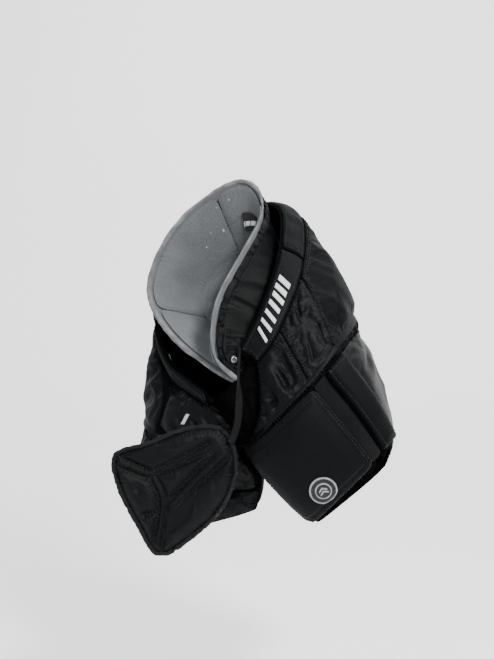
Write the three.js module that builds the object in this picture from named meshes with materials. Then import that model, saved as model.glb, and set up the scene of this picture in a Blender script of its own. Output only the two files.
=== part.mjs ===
// Padded ice-hockey goalkeeper's pants, hung obliquely from the back of the waist.
// Millimetres, +Z up. The origin is the point of the back waist edge that a hanger grips.
// The wearer's left leg is at +X, the wearer's right leg at -X, and the front faces -Y.
import * as THREE from 'three';

// ---------------------------------------------------------------- driving dimensions
const SEAM_INSET = 0.022;         // share of a girth step left open at each sewn seam
const SHELL_THICK = 5;            // nylon shell with its thin foam backing
const BELT_BAND_THICK = 9;        // padded waistband of the outer shell
const BLOCK_LIFT = 21;            // how far the thigh block stands off the shell
const BLOCK_THICK = 23;
const SIDE_BLOCK_LIFT = 14;
const SIDE_BLOCK_THICK = 16;
const LINER_THICK = 2;
const LINER_DEPTH = 9;            // the liner's depth behind the shell's face
const PLATE_THICK = 1.6;
const INNER_COVER_THICK = 3;
const INNER_PAD_THICK = 9;
const RIM_RADIUS = 5;
const FLAP_FRONT_Y = -214;        // the flap's face that carries the loop patches
const FLAP_THICK = 11;
const FLAP_SHELL_THICK = 2.2;
const LOOP_THICK = 1.6;
const BUTTON_RADIUS = 8;
const BUTTON_THICK = 3;
const STRAP_WIDTH = 11;
const STRAP_THICK = 1.8;
const LEFT_CUFF = 2.74;           // girth place where the flexing cuff above the left thigh starts
const RIGHT_CUFF = 2.7;

// ---------------------------------------------------------------- finishes
const FINISH = {
  satin_nylon: [0x17181d, 0.42, 0],
  matte_shell: [0x1b1c20, 0.78, 0],
  stretch_knit: [0x141518, 0.9, 0],
  padded_band: [0x1a1b20, 0.5, 0],
  grey_liner: [0x6e7275, 0.93, 0],
  grey_binding: [0x9da1a4, 0.85, 0],
  webbing: [0x1d1e21, 0.8, 0],
  loop_pile: [0x24251f, 0.98, 0],
  stiff_plastic: [0x2a2b2e, 0.5, 0],
  metal: [0xb9bcc0, 0.3, 1],
  label_cloth: [0x1c1e24, 0.7, 0],
  emblem: [0xa7abb0, 0.55, 0],
};

// ---------------------------------------------------------------- girth lines
// Each line runs round one leg from the front centre, over the outer side, to the back centre, in
// eight sewing places. It is given only at the places where a seam crosses it, and between them it
// follows a smooth curve whose slope at a seam comes from the seams on either side.
const wrap = (index, count) => ((index % count) + count) % count;

function sewnLine(closed, count, places, ...seamPoints) {
  const seams = places.length;
  const point = (k) => new THREE.Vector3(...seamPoints[wrap(k, seams)]);
  const place = (k) => places[wrap(k, seams)] + Math.floor(k / seams) * count;
  const inRange = (k) => (closed ? k : THREE.MathUtils.clamp(k, 0, seams - 1));
  const slope = (k) => {
    const [before, after] = [inRange(k - 1), inRange(k + 1)];
    return point(after).sub(point(before)).divideScalar(place(after) - place(before));
  };
  const points = [];
  for (let at = 0; at < count; at += 1) {
    const k = places.findLastIndex((p) => p <= at);
    const span = place(k + 1) - place(k);
    const f = (at - place(k)) / span;
    points.push(f === 0 ? point(k) : new THREE.Vector3()
      .addScaledVector(point(k), 1 - 3 * f ** 2 + 2 * f ** 3)
      .addScaledVector(point(k + 1), 3 * f ** 2 - 2 * f ** 3)
      .addScaledVector(slope(k), span * (f - 2 * f ** 2 + f ** 3))
      .addScaledVector(slope(k + 1), span * (f ** 3 - f ** 2)));
  }
  return { closed, points };
}

// The seams of a leg: front centre, the two gathered seams of the front, the seam behind the
// hip, and the back centre. The upper three lines are open, and the lower three go round the thigh.
const LEG_SEAMS = [0, 2, 3, 5, 7];
const openLine = (...points) => sewnLine(false, 8, LEG_SEAMS, ...points);
const thighLine = (...points) => sewnLine(true, 8, LEG_SEAMS, ...points);

const LEFT_LEG = [
  openLine([-10, -195, -255], [25, -175, -185], [50, -130, -115], [55, -55, -15], [-20, 10, -10]),
  openLine([15, -195, -275], [50, -195, -225], [85, -150, -140], [90, -45, -30], [-10, 25, -30]),
  openLine([20, -205, -345], [75, -215, -270], [115, -185, -205], [150, -35, -125], [20, 35, -190]),
  thighLine([10, -205, -400], [100, -225, -310], [140, -200, -265], [185, -40, -225], [55, -15, -360]),
  thighLine([55, -205, -465], [145, -230, -365], [185, -200, -330], [220, -35, -345], [80, -55, -470]),
  thighLine([105, -200, -515], [190, -225, -425], [220, -190, -395], [235, -40, -450], [120, -60, -540]),
];

const RIGHT_LEG = [
  openLine([-70, -160, -325], [-130, -85, -280], [-155, -40, -235], [-150, 10, -115], [-25, 15, -15]),
  openLine([-60, -170, -345], [-125, -90, -305], [-150, -45, -260], [-145, 20, -135], [-20, 30, -30]),
  openLine([-25, -180, -370], [-105, -135, -355], [-150, -90, -335], [-150, 20, -250], [15, 40, -195]),
  thighLine([-15, -170, -410], [-120, -140, -410], [-165, -90, -400], [-150, 15, -365], [5, -20, -380]),
  thighLine([15, -145, -460], [-120, -135, -465], [-165, -85, -460], [-135, 10, -455], [15, -50, -465]),
  thighLine([10, -130, -510], [-105, -125, -540], [-145, -80, -525], [-120, 0, -520], [10, -55, -510]),
];

// The floating inner belt: its rim, its middle and its lower edge, each a closed line in fifteen
// steps that starts at the front, goes round the wearer's right side and the back, and returns.
const BELT_PLACES = [0, 2, 4, 6, 8, 10, 12, 14];
const beltLine = (...points) => sewnLine(true, 15, BELT_PLACES, ...points);
const BELT_RIM = beltLine([-5, -170, -310], [-100, -125, -255], [-165, -60, -160], [-115, -30, -40],
  [-10, -30, 30], [25, -85, -35], [-45, -155, -170], [-50, -175, -270]);
const BELT_MIDDLE = beltLine([25, -120, -300], [-35, -55, -265], [-85, -5, -180], [-50, 5, -110],
  [20, -5, -85], [65, -55, -105], [45, -110, -185], [30, -130, -280]);
const BELT_TAPER = 0.85;                                 // the lower edge is drawn in by this share
const BELT_DROP = new THREE.Vector3(22, 14, -18);        // and hangs this far from the middle line

function beltLowerEdge({ closed, points }) {
  const centre = points.reduce((sum, p) => sum.add(p), new THREE.Vector3()).divideScalar(points.length);
  return { closed, points: points.map((p) => centre.clone().lerp(p, BELT_TAPER).add(BELT_DROP)) };
}
const INNER_BELT = [BELT_RIM, BELT_MIDDLE, beltLowerEdge(BELT_MIDDLE)];

// ---------------------------------------------------------------- curves and surfaces
function pointOf(points, index, closed) {
  const last = points.length - 1;
  if (closed) return points[wrap(index, points.length)];
  if (index < 0) return points[0].clone().multiplyScalar(2).sub(points[1]);
  if (index > last) return points[last].clone().multiplyScalar(2).sub(points[last - 1]);
  return points[index];
}

// A Catmull-Rom curve through the points, where t counts the points.
// Past the end of an open line it takes the straight way back to the first point.
function alongPoints(points, t, closed) {
  const last = points.length - 1;
  if (!closed && t > last) return points[last].clone().lerp(points[0], t - last);
  const start = closed ? Math.floor(t) : Math.min(Math.floor(t), points.length - 2);
  const f = t - start;
  const [a, b, c, d] = [-1, 0, 1, 2].map((k) => pointOf(points, start + k, closed));
  const weights = [
    (-f + 2 * f * f - f ** 3) / 2,
    (2 - 5 * f * f + 3 * f ** 3) / 2,
    (f + 4 * f * f - 3 * f ** 3) / 2,
    (f ** 3 - f * f) / 2,
  ];
  return new THREE.Vector3()
    .addScaledVector(a, weights[0]).addScaledVector(b, weights[1])
    .addScaledVector(c, weights[2]).addScaledVector(d, weights[3]);
}

const onSurface = (lines, u, v) => alongPoints(lines.map((l) => alongPoints(l.points, u, l.closed)), v, false);

// The unit normal. It points out of the garment for the right leg and the belt, and `side`
// turns it for the left leg, whose lines run the other way round.
function surfaceNormal(lines, u, v, side) {
  const step = 0.02;
  const last = lines.length - 1;
  const alongU = onSurface(lines, u + step, v).sub(onSurface(lines, Math.max(u - step, 0), v));
  const alongV = onSurface(lines, u, Math.min(v + step, last)).sub(onSurface(lines, u, Math.max(v - step, 0)));
  return alongU.cross(alongV).normalize().multiplyScalar(side);
}

// ---------------------------------------------------------------- solids
function signedVolume(points, faces) {
  let volume = 0;
  for (const [a, b, c] of faces) {
    volume += points[a].dot(new THREE.Vector3().crossVectors(points[b], points[c])) / 6;
  }
  return volume;
}

function geometryOf(points, faces) {
  const outward = signedVolume(points, faces) > 0;
  const geometry = new THREE.BufferGeometry();
  geometry.setAttribute('position', new THREE.Float32BufferAttribute(points.flatMap((p) => p.toArray()), 3));
  geometry.setIndex(faces.flatMap(([a, b, c]) => (outward ? [a, b, c] : [a, c, b])));
  geometry.computeVertexNormals();
  return geometry;
}

// A closed slab between two faces. `face(a, b, level)` gives a point for a, b in 0..1,
// where level 1 is the outer face and level 0 the inner one. A looped slab joins its ends.
function slab(face, stepsA, stepsB, looped = false) {
  const columns = looped ? stepsA : stepsA + 1;
  const points = [];
  for (const level of [1, 0]) {
    for (let i = 0; i < columns; i += 1) {
      for (let j = 0; j <= stepsB; j += 1) points.push(face(i / stepsA, j / stepsB, level));
    }
  }
  const at = (i, j, level) => (level ? 0 : columns * (stepsB + 1)) + wrap(i, columns) * (stepsB + 1) + j;
  const faces = [];
  const quad = (a, b, c, d) => faces.push([a, b, c], [a, c, d]);
  for (let i = 0; i < stepsA; i += 1) {
    for (let j = 0; j < stepsB; j += 1) {
      quad(at(i, j, 1), at(i + 1, j, 1), at(i + 1, j + 1, 1), at(i, j + 1, 1));
      quad(at(i, j, 0), at(i, j + 1, 0), at(i + 1, j + 1, 0), at(i + 1, j, 0));
    }
    quad(at(i, 0, 0), at(i + 1, 0, 0), at(i + 1, 0, 1), at(i, 0, 1));
    quad(at(i, stepsB, 1), at(i + 1, stepsB, 1), at(i + 1, stepsB, 0), at(i, stepsB, 0));
  }
  if (!looped) {
    for (let j = 0; j < stepsB; j += 1) {
      quad(at(0, j, 1), at(0, j + 1, 1), at(0, j + 1, 0), at(0, j, 0));
      quad(at(stepsA, j, 0), at(stepsA, j + 1, 0), at(stepsA, j + 1, 1), at(stepsA, j, 1));
    }
  }
  return geometryOf(points, faces);
}

const pillow = (a, b) => Math.sqrt(Math.max(0, 16 * a * (1 - a) * b * (1 - b)));

// A square of side 1 drawn into a disc of diameter 1, for round patches.
function intoDisc(a, b) {
  const x = 2 * a - 1;
  const y = 2 * b - 1;
  return [0.5 + 0.5 * x * Math.sqrt(1 - y * y / 2), 0.5 + 0.5 * y * Math.sqrt(1 - x * x / 2)];
}

// A sewn panel of a leg or of the belt, cut from its surface between two girth places (u)
// and two lengthwise places (v), and padded outwards by `crown` or inwards by `puff`.
function panel(lines, side, [u0, u1], [v0, v1], options) {
  const { lift = 0, thick = SHELL_THICK, crown = 0, puff = 0, steps = [8, 6], looped = false,
    round = false } = options;
  const insetU = looped ? 0 : SEAM_INSET;
  const face = (a, b, level) => {
    const [s, t] = round ? intoDisc(a, b) : [a, b];
    const u = THREE.MathUtils.lerp(u0 + insetU, u1 - insetU, s);
    const v = THREE.MathUtils.lerp(v0 + SEAM_INSET, v1 - SEAM_INSET, t);
    const swell = pillow(s, t);
    const offset = level ? lift + crown * swell : lift - thick - puff * swell;
    return onSurface(lines, u, v).addScaledVector(surfaceNormal(lines, u, v, side), offset);
  };
  return slab(face, ...steps, looped);
}

const left = (u, v, options) => panel(LEFT_LEG, -1, u, v, options);
const right = (u, v, options) => panel(RIGHT_LEG, 1, u, v, options);
const belt = (u, v, options) => panel(INNER_BELT, 1, u, v, options);

// A plate of constant thickness in an upright plane that faces -Y.
function uprightPlate(outline, frontY, thick) {
  const geometry = new THREE.ExtrudeGeometry(outline, { depth: thick, bevelEnabled: false, curveSegments: 4 });
  return geometry.rotateX(Math.PI / 2).translate(0, frontY + thick, 0);
}

// ---------------------------------------------------------------- scene graph
const pants = new THREE.Group();
pants.name = 'goalkeeper_pants';

function add(name, finish, geometry) {
  const [color, roughness, metalness] = FINISH[finish];
  const mesh = new THREE.Mesh(geometry, new THREE.MeshStandardMaterial({ color, roughness, metalness }));
  mesh.name = name;
  pants.add(mesh);
  return mesh;
}

// ---- outer shell, wearer's left
const BAND = { thick: BELT_BAND_THICK, crown: 3 };
add('left_waistband_front', 'padded_band', left([0, 3.4], [0, 1], { ...BAND, steps: [10, 4] }));
add('left_waistband_back', 'padded_band', left([3.4, 7], [0, 1], { ...BAND, steps: [10, 4] }));
add('left_front_panel', 'satin_nylon', left([0, 2], [1, LEFT_CUFF], { crown: 3 }));
add('left_front_yoke', 'satin_nylon', left([2, 3], [1, LEFT_CUFF], { crown: 3 }));
add('left_hip_pad', 'matte_shell', left([3, 5], [1, LEFT_CUFF], { crown: 7 }));
add('left_seat_panel', 'satin_nylon', left([5, 7], [1, LEFT_CUFF], { crown: 3 }));
add('left_flex_cuff', 'satin_nylon', left([0, 7], [LEFT_CUFF, 3], { crown: 3, steps: [22, 2] }));
add('left_thigh_block', 'matte_shell',
  left([0.05, 1.97], [3, 5], { lift: BLOCK_LIFT, thick: BLOCK_THICK, crown: 4 }));
add('left_thigh_plate', 'stiff_plastic',
  left([0.15, 1.85], [3.15, 4.85], { lift: -4.6, thick: PLATE_THICK, steps: [8, 6] }));
add('left_channel_web', 'webbing', left([1.97, 2.4], [3, 5], { lift: 2, thick: 6, steps: [2, 10] }));
add('left_side_block', 'matte_shell',
  left([2.4, 3.06], [3, 5], { lift: SIDE_BLOCK_LIFT, thick: SIDE_BLOCK_THICK, crown: 3, steps: [4, 10] }));
add('left_side_panel', 'satin_nylon', left([3.06, 5], [3, 5], { crown: 4 }));
add('left_rear_panel', 'matte_shell', left([5, 7], [3, 5], { crown: 3 }));
add('left_inner_panel', 'stretch_knit', left([7.05, 7.93], [3.1, 5], { crown: 2, steps: [6, 6] }));
add('left_leg_liner', 'stretch_knit',
  left([0, 8], [3, 5], { lift: -LINER_DEPTH, thick: LINER_THICK, steps: [24, 6], looped: true }));
add('left_emblem', 'emblem',
  left([0.52, 1.1], [4.26, 4.9], { lift: BLOCK_LIFT + 6, thick: 1.2, steps: [6, 6], round: true }));

// ---- outer shell, wearer's right
add('right_waistband_front', 'padded_band', right([0, 3.37], [0, 1], { ...BAND, steps: [10, 4] }));
add('right_waistband_back', 'padded_band', right([3.43, 7], [0, 1], { ...BAND, steps: [10, 4] }));
add('right_front_panel', 'satin_nylon', right([0, 2.6], [1.04, RIGHT_CUFF], { crown: 3 }));
add('right_hip_pad', 'matte_shell', right([2.6, 5], [1.04, RIGHT_CUFF], { crown: 5 }));
add('right_seat_panel', 'satin_nylon', right([5, 7], [1.04, RIGHT_CUFF], { crown: 3 }));
add('right_flex_cuff', 'satin_nylon', right([0, 7], [RIGHT_CUFF, 3], { crown: 2, steps: [22, 2] }));
add('right_thigh_panel', 'satin_nylon', right([0.05, 2.2], [3, 4.35], { crown: 4 }));
add('right_side_panel', 'matte_shell', right([2.2, 5], [3, 4.35], { crown: 4 }));
add('right_rear_panel', 'matte_shell', right([5, 7], [3, 5], { crown: 3 }));
add('right_inner_panel', 'stretch_knit', right([7.05, 7.93], [3.1, 5], { crown: 2, steps: [6, 6] }));
add('right_hem_block', 'padded_band',
  right([0, 5], [4.35, 5], { lift: 5, thick: 10, crown: 4, steps: [10, 4] }));
add('right_leg_liner', 'stretch_knit',
  right([0, 8], [3, 5], { lift: -LINER_DEPTH, thick: LINER_THICK, steps: [24, 6], looped: true }));

// ---- the fly and the gusset between the legs
const plainLine = (...points) => ({ closed: false, points: points.map((p) => new THREE.Vector3(...p)) });
const GUSSET = [
  plainLine([-60, -152, -345], [-35, -170, -325], [-10, -184, -298], [12, -186, -276]),
  plainLine([-34, -164, -374], [-12, -178, -366], [8, -186, -352], [26, -190, -338]),
  plainLine([-20, -160, -404], [-8, -170, -402], [6, -180, -398], [18, -190, -392]),
];
add('fly_gusset', 'stretch_knit',
  panel(GUSSET, -1, [0, 3], [0, 1.96], { thick: 3, crown: 2, steps: [6, 6] }));
const CROTCH = [
  plainLine([-8, -164, -402], [0, -166, -399], [8, -172, -396]),
  plainLine([4, -100, -388], [16, -100, -384], [28, -104, -380]),
  plainLine([14, -34, -366], [28, -30, -361], [42, -30, -356]),
];
add('crotch_gusset', 'stretch_knit',
  panel(CROTCH, -1, [0.2, 1.8], [0.1, 1.9], { thick: 2.4, steps: [3, 8] }));

// ---- floating inner belt
add('inner_belt_cover', 'satin_nylon',
  belt([0, 15], [0.09, 1.9], { thick: INNER_COVER_THICK, crown: 2, steps: [30, 5], looped: true }));
const rimPath = new THREE.CatmullRomCurve3(
  [...Array(30).keys()].map((k) => onSurface(INNER_BELT, 0.06 + (14.88 * k) / 29, 0)), false, 'catmullrom', 0.5);
const rimSection = new THREE.Shape().absarc(0, 0, RIM_RADIUS, 0, 2 * Math.PI);
add('inner_rim_binding', 'grey_binding',
  new THREE.ExtrudeGeometry(rimSection, { steps: 44, bevelEnabled: false, extrudePath: rimPath, curveSegments: 6 }));
const PAD = { lift: -INNER_COVER_THICK - 1.8, thick: 3, puff: INNER_PAD_THICK - 3 };
add('spine_pad', 'grey_liner', belt([7.1, 9.6], [0.04, 1.15], PAD));
add('tail_pad', 'grey_liner', belt([6.5, 9.6], [1.15, 1.9], { ...PAD, steps: [8, 4] }));
add('right_kidney_pad', 'grey_liner', belt([3.4, 7.1], [0.04, 1.13], { ...PAD, steps: [12, 6] }));
add('right_hip_liner_pad', 'grey_liner', belt([2.6, 6.5], [1.15, 1.9], { ...PAD, steps: [12, 4] }));
add('right_front_liner_pad', 'grey_liner', belt([0.5, 3.4], [0.04, 1.13], PAD));
add('left_kidney_pad', 'grey_liner', belt([9.6, 14], [0.04, 1], { ...PAD, puff: 3, steps: [12, 5] }));
const LABEL = { lift: -INNER_COVER_THICK - 4.4 - INNER_PAD_THICK, thick: 0.8, steps: [4, 4] };
add('belt_label', 'label_cloth', belt([7.75, 8.9], [0.38, 0.68], LABEL));
add('size_tag', 'label_cloth', belt([7.8, 8.7], [0.73, 0.98], LABEL));

// ---- the belt's quilted front tongue, folded over the outside of the belt, with its snap
add('front_tongue', 'satin_nylon',
  belt([13.1, 15.1], [0.14, 1.15], { lift: 9, thick: 5, crown: 2, steps: [8, 8] }));

// Round metal or plastic buttons lie on a face with their axis along its normal.
function button(name, lines, side, u, v, depth) {
  const normal = surfaceNormal(lines, u, v, side);
  const mesh = add(name, 'metal', new THREE.CylinderGeometry(BUTTON_RADIUS, BUTTON_RADIUS, BUTTON_THICK, 20));
  mesh.position.copy(onSurface(lines, u, v)).addScaledVector(normal, depth);
  mesh.quaternion.setFromUnitVectors(new THREE.Vector3(0, 1, 0), normal);
  return mesh;
}
button('tongue_snap', INNER_BELT, 1, 14.0, 0.28, 12.6).scale.set(0.7, 0.9, 0.7);
const BUTTON_DEPTH = -BELT_BAND_THICK - BUTTON_THICK / 2 - 0.4;
button('brace_button_front_left', LEFT_LEG, -1, 1.2, 0.5, BUTTON_DEPTH);
button('brace_button_side_left', LEFT_LEG, -1, 2.3, 0.5, BUTTON_DEPTH);
button('brace_button_front_right', RIGHT_LEG, 1, 1.1, 0.5, BUTTON_DEPTH);
button('brace_button_side_right', RIGHT_LEG, 1, 2.4, 0.5, BUTTON_DEPTH);

// ---- the quilted flap that hangs beside the crotch, with its loop patches
// Its outline is a smooth curve through the hinge edge, the outer tip, the lower tip and back up.
const flapEdge = new THREE.CatmullRomCurve3([
  [-40, -373], [-100, -376], [-150, -397], [-202, -414], [-197, -458],
  [-166, -520], [-134, -567], [-86, -541], [-36, -492], [-15, -430], [-24, -394],
].map(([x, z]) => new THREE.Vector3(x, z, 0)), true, 'centripetal');
const flapOutline = new THREE.Shape(flapEdge.getSpacedPoints(32).slice(0, -1));
const loopOutline = (points) => new THREE.Shape(points.map(([x, z]) => new THREE.Vector2(x, z)));
add('flap_pad', 'satin_nylon', uprightPlate(flapOutline, FLAP_FRONT_Y, FLAP_THICK));
add('flap_shell', 'matte_shell',
  uprightPlate(flapOutline, FLAP_FRONT_Y + FLAP_THICK + 0.4, FLAP_SHELL_THICK));
add('flap_loop_upper', 'loop_pile', uprightPlate(
  loopOutline([[-186, -414], [-134, -397], [-96, -410], [-142, -436]]), FLAP_FRONT_Y - LOOP_THICK - 0.4, LOOP_THICK));
add('flap_loop_lower', 'loop_pile', uprightPlate(
  loopOutline([[-64, -472], [-72, -512], [-118, -542], [-114, -506]]), FLAP_FRONT_Y - LOOP_THICK - 0.4, LOOP_THICK));

// ---- fly strap: flat webbing that hangs free from the front of the waistband
const STRAP_ROUTE = [
  [-12, -205, -250], [-12, -205, -258], [-12, -205.5, -267], [-12.5, -206.5, -278], [-13, -208, -290],
  [-13, -210, -302], [-12.5, -212, -314], [-12, -214, -326], [-12, -216, -338], [-12.5, -217.5, -350],
  [-13.5, -218.5, -361], [-15.5, -219.5, -371], [-18, -220, -380], [-21.5, -220, -388], [-25, -220, -395],
].map((p) => new THREE.Vector3(...p));
const strapSection = new THREE.Shape()
  .moveTo(-STRAP_WIDTH / 2, -STRAP_THICK / 2)
  .lineTo(STRAP_WIDTH / 2, -STRAP_THICK / 2)
  .lineTo(STRAP_WIDTH / 2, STRAP_THICK / 2)
  .lineTo(-STRAP_WIDTH / 2, STRAP_THICK / 2);
const strapPath = new THREE.CatmullRomCurve3(STRAP_ROUTE);
add('fly_strap', 'webbing',
  new THREE.ExtrudeGeometry(strapSection, { steps: 24, bevelEnabled: false, extrudePath: strapPath }));

export default pants;
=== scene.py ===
# %% [markdown]
# # Goalkeeper's hockey pants, hung from the back of the waist
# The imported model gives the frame: every panel, pad and fitting as a plain closed solid in its real place.
# This notebook sews the looks round it: nylon with gathered seams, quilting, stitches and webbing.
# Everything is in metres. The front faces -Y and +Z is up.

import math

import bmesh
import bpy
import numpy as np
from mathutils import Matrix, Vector
from mathutils.bvhtree import BVHTree
from mathutils.kdtree import KDTree


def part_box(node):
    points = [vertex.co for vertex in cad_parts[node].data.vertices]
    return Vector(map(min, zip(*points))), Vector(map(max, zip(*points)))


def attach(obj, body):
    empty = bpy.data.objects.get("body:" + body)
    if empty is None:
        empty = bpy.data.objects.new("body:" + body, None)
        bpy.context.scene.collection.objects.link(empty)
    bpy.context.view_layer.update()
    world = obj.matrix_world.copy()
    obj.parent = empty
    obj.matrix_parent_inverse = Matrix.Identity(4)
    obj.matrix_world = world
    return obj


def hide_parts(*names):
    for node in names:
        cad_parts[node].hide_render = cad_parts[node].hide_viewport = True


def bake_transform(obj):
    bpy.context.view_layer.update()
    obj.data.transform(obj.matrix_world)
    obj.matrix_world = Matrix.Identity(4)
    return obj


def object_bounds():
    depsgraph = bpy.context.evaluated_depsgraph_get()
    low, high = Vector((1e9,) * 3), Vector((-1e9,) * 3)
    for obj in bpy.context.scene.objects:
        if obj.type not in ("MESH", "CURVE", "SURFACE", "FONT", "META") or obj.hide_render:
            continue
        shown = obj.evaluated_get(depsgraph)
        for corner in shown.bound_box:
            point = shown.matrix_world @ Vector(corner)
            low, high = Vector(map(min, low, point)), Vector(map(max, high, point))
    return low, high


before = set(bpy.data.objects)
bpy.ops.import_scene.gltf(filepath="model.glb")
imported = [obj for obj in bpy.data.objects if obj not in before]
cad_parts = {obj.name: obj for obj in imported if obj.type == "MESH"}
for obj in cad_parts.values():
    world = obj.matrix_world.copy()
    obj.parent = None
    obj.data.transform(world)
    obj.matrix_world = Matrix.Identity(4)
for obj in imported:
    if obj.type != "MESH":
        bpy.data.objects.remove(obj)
cad_box = [list(corner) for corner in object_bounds()]
MM = 0.001

# %% [markdown]
# ## Camera, light and a pale room
# The pants hang in the air, so the floor lies well below them and curves up into a pale wall behind.
# The camera stands level with the middle of the pants. One large soft lamp at the upper right draws the
# long highlights on the satin, a weak one at the left keeps the dark side readable, and a wide one above
# lights the crests of the folds.

# %% Camera
CAMERA_DISTANCE = 1.73
CAMERA_HEIGHT = -0.224
FOCAL_LENGTH = 54.6


def make_camera():
    """A level camera that looks along +Y at the middle of the pants."""
    data = bpy.data.cameras.new("camera")
    data.lens = FOCAL_LENGTH
    camera = bpy.data.objects.new("camera", data)
    camera.location = (0, -CAMERA_DISTANCE, CAMERA_HEIGHT)
    camera.rotation_euler = (math.radians(90), 0, 0)
    bpy.context.scene.collection.objects.link(camera)
    bpy.context.scene.camera = camera


make_camera()
print("camera", CAMERA_DISTANCE, "m in front")

# %% Lights and room
FLOOR_DROP = 0.28
ROOM_HALF_WIDTH = 3.0
ROOM_DEPTH = 1.4


def make_lamp(name, location, target, size, power, color=(1, 1, 1)):
    data = bpy.data.lights.new(name, "AREA")
    data.size = size
    data.energy = power
    data.color = color
    lamp = bpy.data.objects.new(name, data)
    lamp.location = location
    lamp.rotation_euler = (Vector(target) - Vector(location)).to_track_quat("-Z", "Y").to_euler()
    bpy.context.scene.collection.objects.link(lamp)


def make_room():
    """A floor that curves up into a wall, swept across the view."""
    floor_z = cad_box[0][2] - FLOOR_DROP
    bend = 0.5
    profile = [(-4.0, floor_z)]
    for step in range(13):
        turn = math.radians(90 * step / 12)
        profile.append((ROOM_DEPTH - bend + bend * math.sin(turn), floor_z + bend - bend * math.cos(turn)))
    profile.append((ROOM_DEPTH, floor_z + 4))
    points = [(x, y, z) for x in (-ROOM_HALF_WIDTH, ROOM_HALF_WIDTH) for y, z in profile]
    count = len(profile)
    faces = [(i, i + 1, i + 1 + count, i + count) for i in range(count - 1)]
    mesh = bpy.data.meshes.new("room")
    mesh.from_pydata(points, [], faces)
    mesh.shade_smooth()
    room = bpy.data.objects.new("room", mesh)
    bpy.context.scene.collection.objects.link(room)
    return room


CENTRE = (0.0, -0.1, -0.27)
make_lamp("key", (0.9, -1.6, 1.15), CENTRE, 0.5, 92, (1, 0.98, 0.95))
make_lamp("fill", (-1.6, -1.1, 0.2), CENTRE, 0.9, 9, (0.93, 0.96, 1))
make_lamp("top", (0.3, 0.1, 1.7), CENTRE, 1.2, 30)
world = bpy.data.worlds.new("studio")
world.use_nodes = True
world.node_tree.nodes["Background"].inputs[0].default_value = (0.9, 0.92, 0.95, 1)
world.node_tree.nodes["Background"].inputs[1].default_value = 0.6
bpy.context.scene.world = world
room = make_room()
print("lamps: key, fill, top")

# %% [markdown]
# ## Writing shaders as sums
# A material is easier to read as arithmetic than as boxes and wires. `Wire` wraps one socket, and the
# operators add the Math nodes. `Finish.node` adds any other node: first its settings, then its inputs.

# %% Socket arithmetic
class Wire:
    """One output socket of a material, with arithmetic that adds Math nodes."""

    def __init__(self, finish, socket):
        self.finish = finish
        self.socket = socket

    def math(self, operation, first, second=None):
        inputs = {0: first} if second is None else {0: first, 1: second}
        return self.finish.node("ShaderNodeMath", {"operation": operation}, inputs)

    def __add__(self, other):
        return self.math("ADD", self, other)

    __radd__ = __add__

    def __mul__(self, other):
        return self.math("MULTIPLY", self, other)

    __rmul__ = __mul__

    def __sub__(self, other):
        return self.math("SUBTRACT", self, other)

    def __rsub__(self, other):
        return self.math("SUBTRACT", other, self)

    def __pow__(self, other):
        return self.math("POWER", self, other)

    def sine(self):
        return self.math("SINE", self)

    def above(self, other):
        return self.math("GREATER_THAN", self, other)

    def least(self, other):
        return self.math("MINIMUM", self, other)

    def most(self, other):
        return self.math("MAXIMUM", self, other)

    def spread(self, low, high, new_low=0.0, new_high=1.0):
        settings = {"interpolation_type": "SMOOTHSTEP"}
        inputs = {0: self, 1: low, 2: high, 3: new_low, 4: new_high}
        return self.finish.node("ShaderNodeMapRange", settings, inputs)


class Finish:
    """A material with one Principled shader, built by expressions."""

    def __init__(self, name, **constants):
        self.material = bpy.data.materials.new(name)
        self.material.use_nodes = True
        self.tree = self.material.node_tree
        self.shader = self.tree.nodes["Principled BSDF"]
        for socket, value in constants.items():
            self.shader.inputs[socket.replace("_", " ")].default_value = value

    def node(self, kind, settings=None, inputs=None, output=0):
        made = self.tree.nodes.new(kind)
        for name, value in (settings or {}).items():
            setattr(made, name, value)
        for name, value in (inputs or {}).items():
            if isinstance(value, Wire):
                self.tree.links.new(value.socket, made.inputs[name])
            else:
                made.inputs[name].default_value = value
        return Wire(self, made.outputs[output])

    def place(self):
        """Position on the piece, in metres."""
        return self.node("ShaderNodeTexCoord", output=3)

    def parts(self, vector):
        """The three numbers of a position."""
        split = self.node("ShaderNodeSeparateXYZ", inputs={0: vector})
        outputs = split.socket.node.outputs
        return [Wire(self, outputs[axis]) for axis in range(3)]

    def noise(self, scale, detail=3.0, roughness=0.5, vector=None):
        inputs = {"Vector": vector or self.place(), "Scale": scale, "Detail": detail, "Roughness": roughness}
        return self.node("ShaderNodeTexNoise", None, inputs)

    def mix(self, factor, first, second):
        """Colours go through a Mix node, because a Math node would turn them grey."""
        made = self.node("ShaderNodeMix", {"data_type": "RGBA"}, {0: factor}, output=2)
        for slot, value in ((6, first), (7, second)):
            target = made.socket.node.inputs[slot]
            if isinstance(value, Wire):
                self.tree.links.new(value.socket, target)
            else:
                target.default_value = value
        return made

    def bump(self, height, distance, strength=1.0, normal=None):
        inputs = {"Height": height, "Distance": distance, "Strength": strength}
        if normal is not None:
            inputs["Normal"] = normal
        return self.node("ShaderNodeBump", None, inputs)

    def feed(self, **links):
        for socket, wire in links.items():
            self.tree.links.new(wire.socket, self.shader.inputs[socket.replace("_", " ")])
        return self.material


def rgb(red, green, blue):
    return (red, green, blue, 1.0)


print("shader helpers ready")

# %% [markdown]
# ## The cloths
# Black sports nylon is never one black. The satin face is smooth and a little blue, with a soft sheen
# along each fold. The heavy shell is matt, with a coarse basket weave. Each cloth gets a fine weave for its
# bump, slow cloudy changes of colour and roughness, and a little pale dust on what stands proud.

# %% Woven cloth
def weave_height(finish, pitch, slant=0.0):
    """Crossing ribs of the given thread pitch, in metres, as a height from -1 to 1."""
    x, y, z = finish.parts(finish.place())
    turns = 2 * math.pi / pitch
    across = ((x + y * 0.7 + z * slant) * turns).sine()
    along = ((z - y * 0.3 - x * slant) * turns).sine()
    return across * along


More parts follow.
